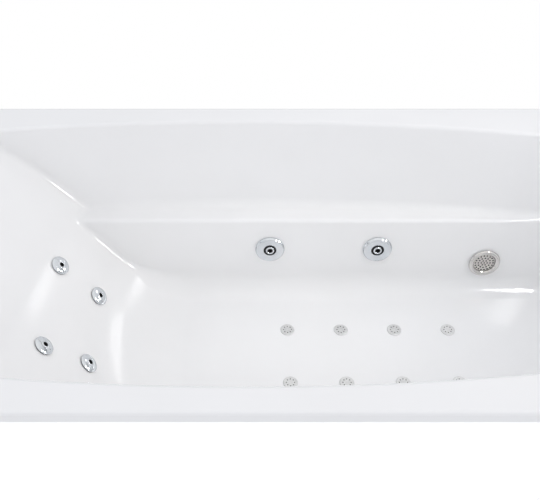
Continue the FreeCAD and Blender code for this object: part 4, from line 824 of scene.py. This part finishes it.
def area_light(name, location, target, size, power):
    """Soft rectangular light facing the target."""
    data = bpy.data.lights.new(name, "AREA")
    data.shape = "RECTANGLE"
    data.size, data.size_y = size
    data.energy = power
    lamp = bpy.data.objects.new(name, data)
    bpy.context.scene.collection.objects.link(lamp)
    lamp.location = location
    away = np.array(target, float) - np.array(location, float)
    yaw = math.atan2(away[1], away[0]) - math.pi / 2
    pitch = math.pi / 2 + math.atan2(away[2], math.hypot(away[0], away[1]))
    lamp.rotation_euler = Euler((pitch, 0, yaw))
    return lamp


def soft_lamp(name, location, target, size, power, spread=180.0, colour=(1.0, 1.0, 1.0)):
    """Lamp that lights the tub and doesn't show in its reflections."""
    lamp = area_light(name, location, target, size, power)
    lamp.data.spread = math.radians(spread)
    lamp.data.color = colour
    lamp.visible_glossy = False


BOX_AWAY = 2.0              # metres


def crease_box(name, crease, direction, size, power):
    """Softbox that only mirror-like surfaces see, away along the direction that a crease reflects."""
    spot = np.array(crease) + BOX_AWAY * np.array(direction) / np.linalg.norm(direction)
    box = area_light(name, tuple(spot), crease, size, power)
    box.visible_diffuse = False


soft_lamp("front", (0.2, -2.4, 1.9), (0.0, 0.0, 0.3), (2.0, 0.5), 3.5)
soft_lamp("overhead", (0.4, -0.35, 2.2), (0.4, 0.10, 0.3), (1.1, 0.25), 0.2, spread=25.0)
soft_lamp("warm", (1.9, 0.0, 1.7), (-0.5, 0.0, 0.3), (0.5, 0.9), 0.9, spread=60.0,
          colour=(1.0, 0.93, 0.83))
crease_box("upper_crease_box", (-0.41, 0.29, 0.42), (0.80, -0.25, 0.55), (0.34, 0.22), 6.0)
crease_box("lower_crease_box", (-0.31, 0.23, 0.28), (0.92, -0.10, 0.33), (0.30, 0.26), 4.0)
crease_box("fillet_box", (0.70, 0.19, 0.17), (0.35, 0.10, 0.93), (0.05, 0.10), 0.05)

# The front panel alone is lit to white, as everything under the lip is
panel_light = area_light("panel_light", (0.0, -1.5, 0.5), (0.0, -0.39, 0.25), (3.6, 0.6), 11.0)
lit_by_it = bpy.data.collections.new("lit_by_panel_light")
lit_by_it.objects.link(nodes["front_panel"])
panel_light.light_linking.receiver_collection = lit_by_it


def world_light():
    """Even light for soft shading; mirror-like surfaces see a paler top over a dark band at the horizon,
    and the camera sees plain white."""
    world = bpy.data.worlds.new("studio")
    bpy.context.scene.world = world
    world.use_nodes = True
    tree = world.node_tree
    soft = tree.nodes["Background"]
    soft.inputs["Color"].default_value = (0.945, 0.957, 1.0, 1.0)
    soft.inputs["Strength"].default_value = 0.883
    direction = tree.nodes.new("ShaderNodeTexCoord")
    split = tree.nodes.new("ShaderNodeSeparateXYZ")
    tree.links.new(direction.outputs["Generated"], split.inputs["Vector"])
    mirrored = tree.nodes.new("ShaderNodeBackground")
    shades = [(0.04, (0.45, 0.45, 0.46)), (0.15, (0.06, 0.06, 0.065)), (0.27, (0.40, 0.40, 0.41)),
              (0.50, (0.84, 0.85, 0.86)), (1.0, (1.0, 1.0, 1.0))]
    tree.links.new(ramp(tree, split.outputs["Z"], shades), mirrored.inputs["Color"])
    bright = tree.nodes.new("ShaderNodeBackground")
    bright.inputs["Color"].default_value = (1.0, 1.0, 1.0, 1.0)
    rays = tree.nodes.new("ShaderNodeLightPath")
    for_mirrors = tree.nodes.new("ShaderNodeMixShader")
    tree.links.new(rays.outputs["Is Glossy Ray"], for_mirrors.inputs["Fac"])
    tree.links.new(soft.outputs["Background"], for_mirrors.inputs[1])
    tree.links.new(mirrored.outputs["Background"], for_mirrors.inputs[2])
    for_camera = tree.nodes.new("ShaderNodeMixShader")
    tree.links.new(rays.outputs["Is Camera Ray"], for_camera.inputs["Fac"])
    tree.links.new(for_mirrors.outputs["Shader"], for_camera.inputs[1])
    tree.links.new(bright.outputs["Background"], for_camera.inputs[2])
    tree.links.new(for_camera.outputs["Shader"], tree.nodes["World Output"].inputs["Surface"])


world_light()

# Camera fitted to the photo: its size, focal length and the point that its axis meets, in pixels
PHOTO_WIDTH = 540.0
PHOTO_HEIGHT = 500.0
FOCAL_PIXELS = 786.0
AXIS_X = 234.0
AXIS_Y = 263.0
SENSOR = 36.0
camera_data = bpy.data.cameras.new("camera")
camera = bpy.data.objects.new("camera", camera_data)
bpy.context.scene.collection.objects.link(camera)
bpy.context.scene.camera = camera
camera.location = (-0.015, -1.064, 1.620)
camera.rotation_euler = Euler((math.radians(42.9), 0, 0))
camera_data.sensor_width = SENSOR
camera_data.lens = SENSOR * FOCAL_PIXELS / PHOTO_WIDTH
camera_data.shift_x = (PHOTO_WIDTH / 2 - AXIS_X) / PHOTO_WIDTH
camera_data.shift_y = -(PHOTO_HEIGHT / 2 - AXIS_Y) / PHOTO_WIDTH
camera_data.clip_start = 0.05
camera_data.clip_end = 60.0

bpy.context.scene.view_settings.view_transform = "Standard"
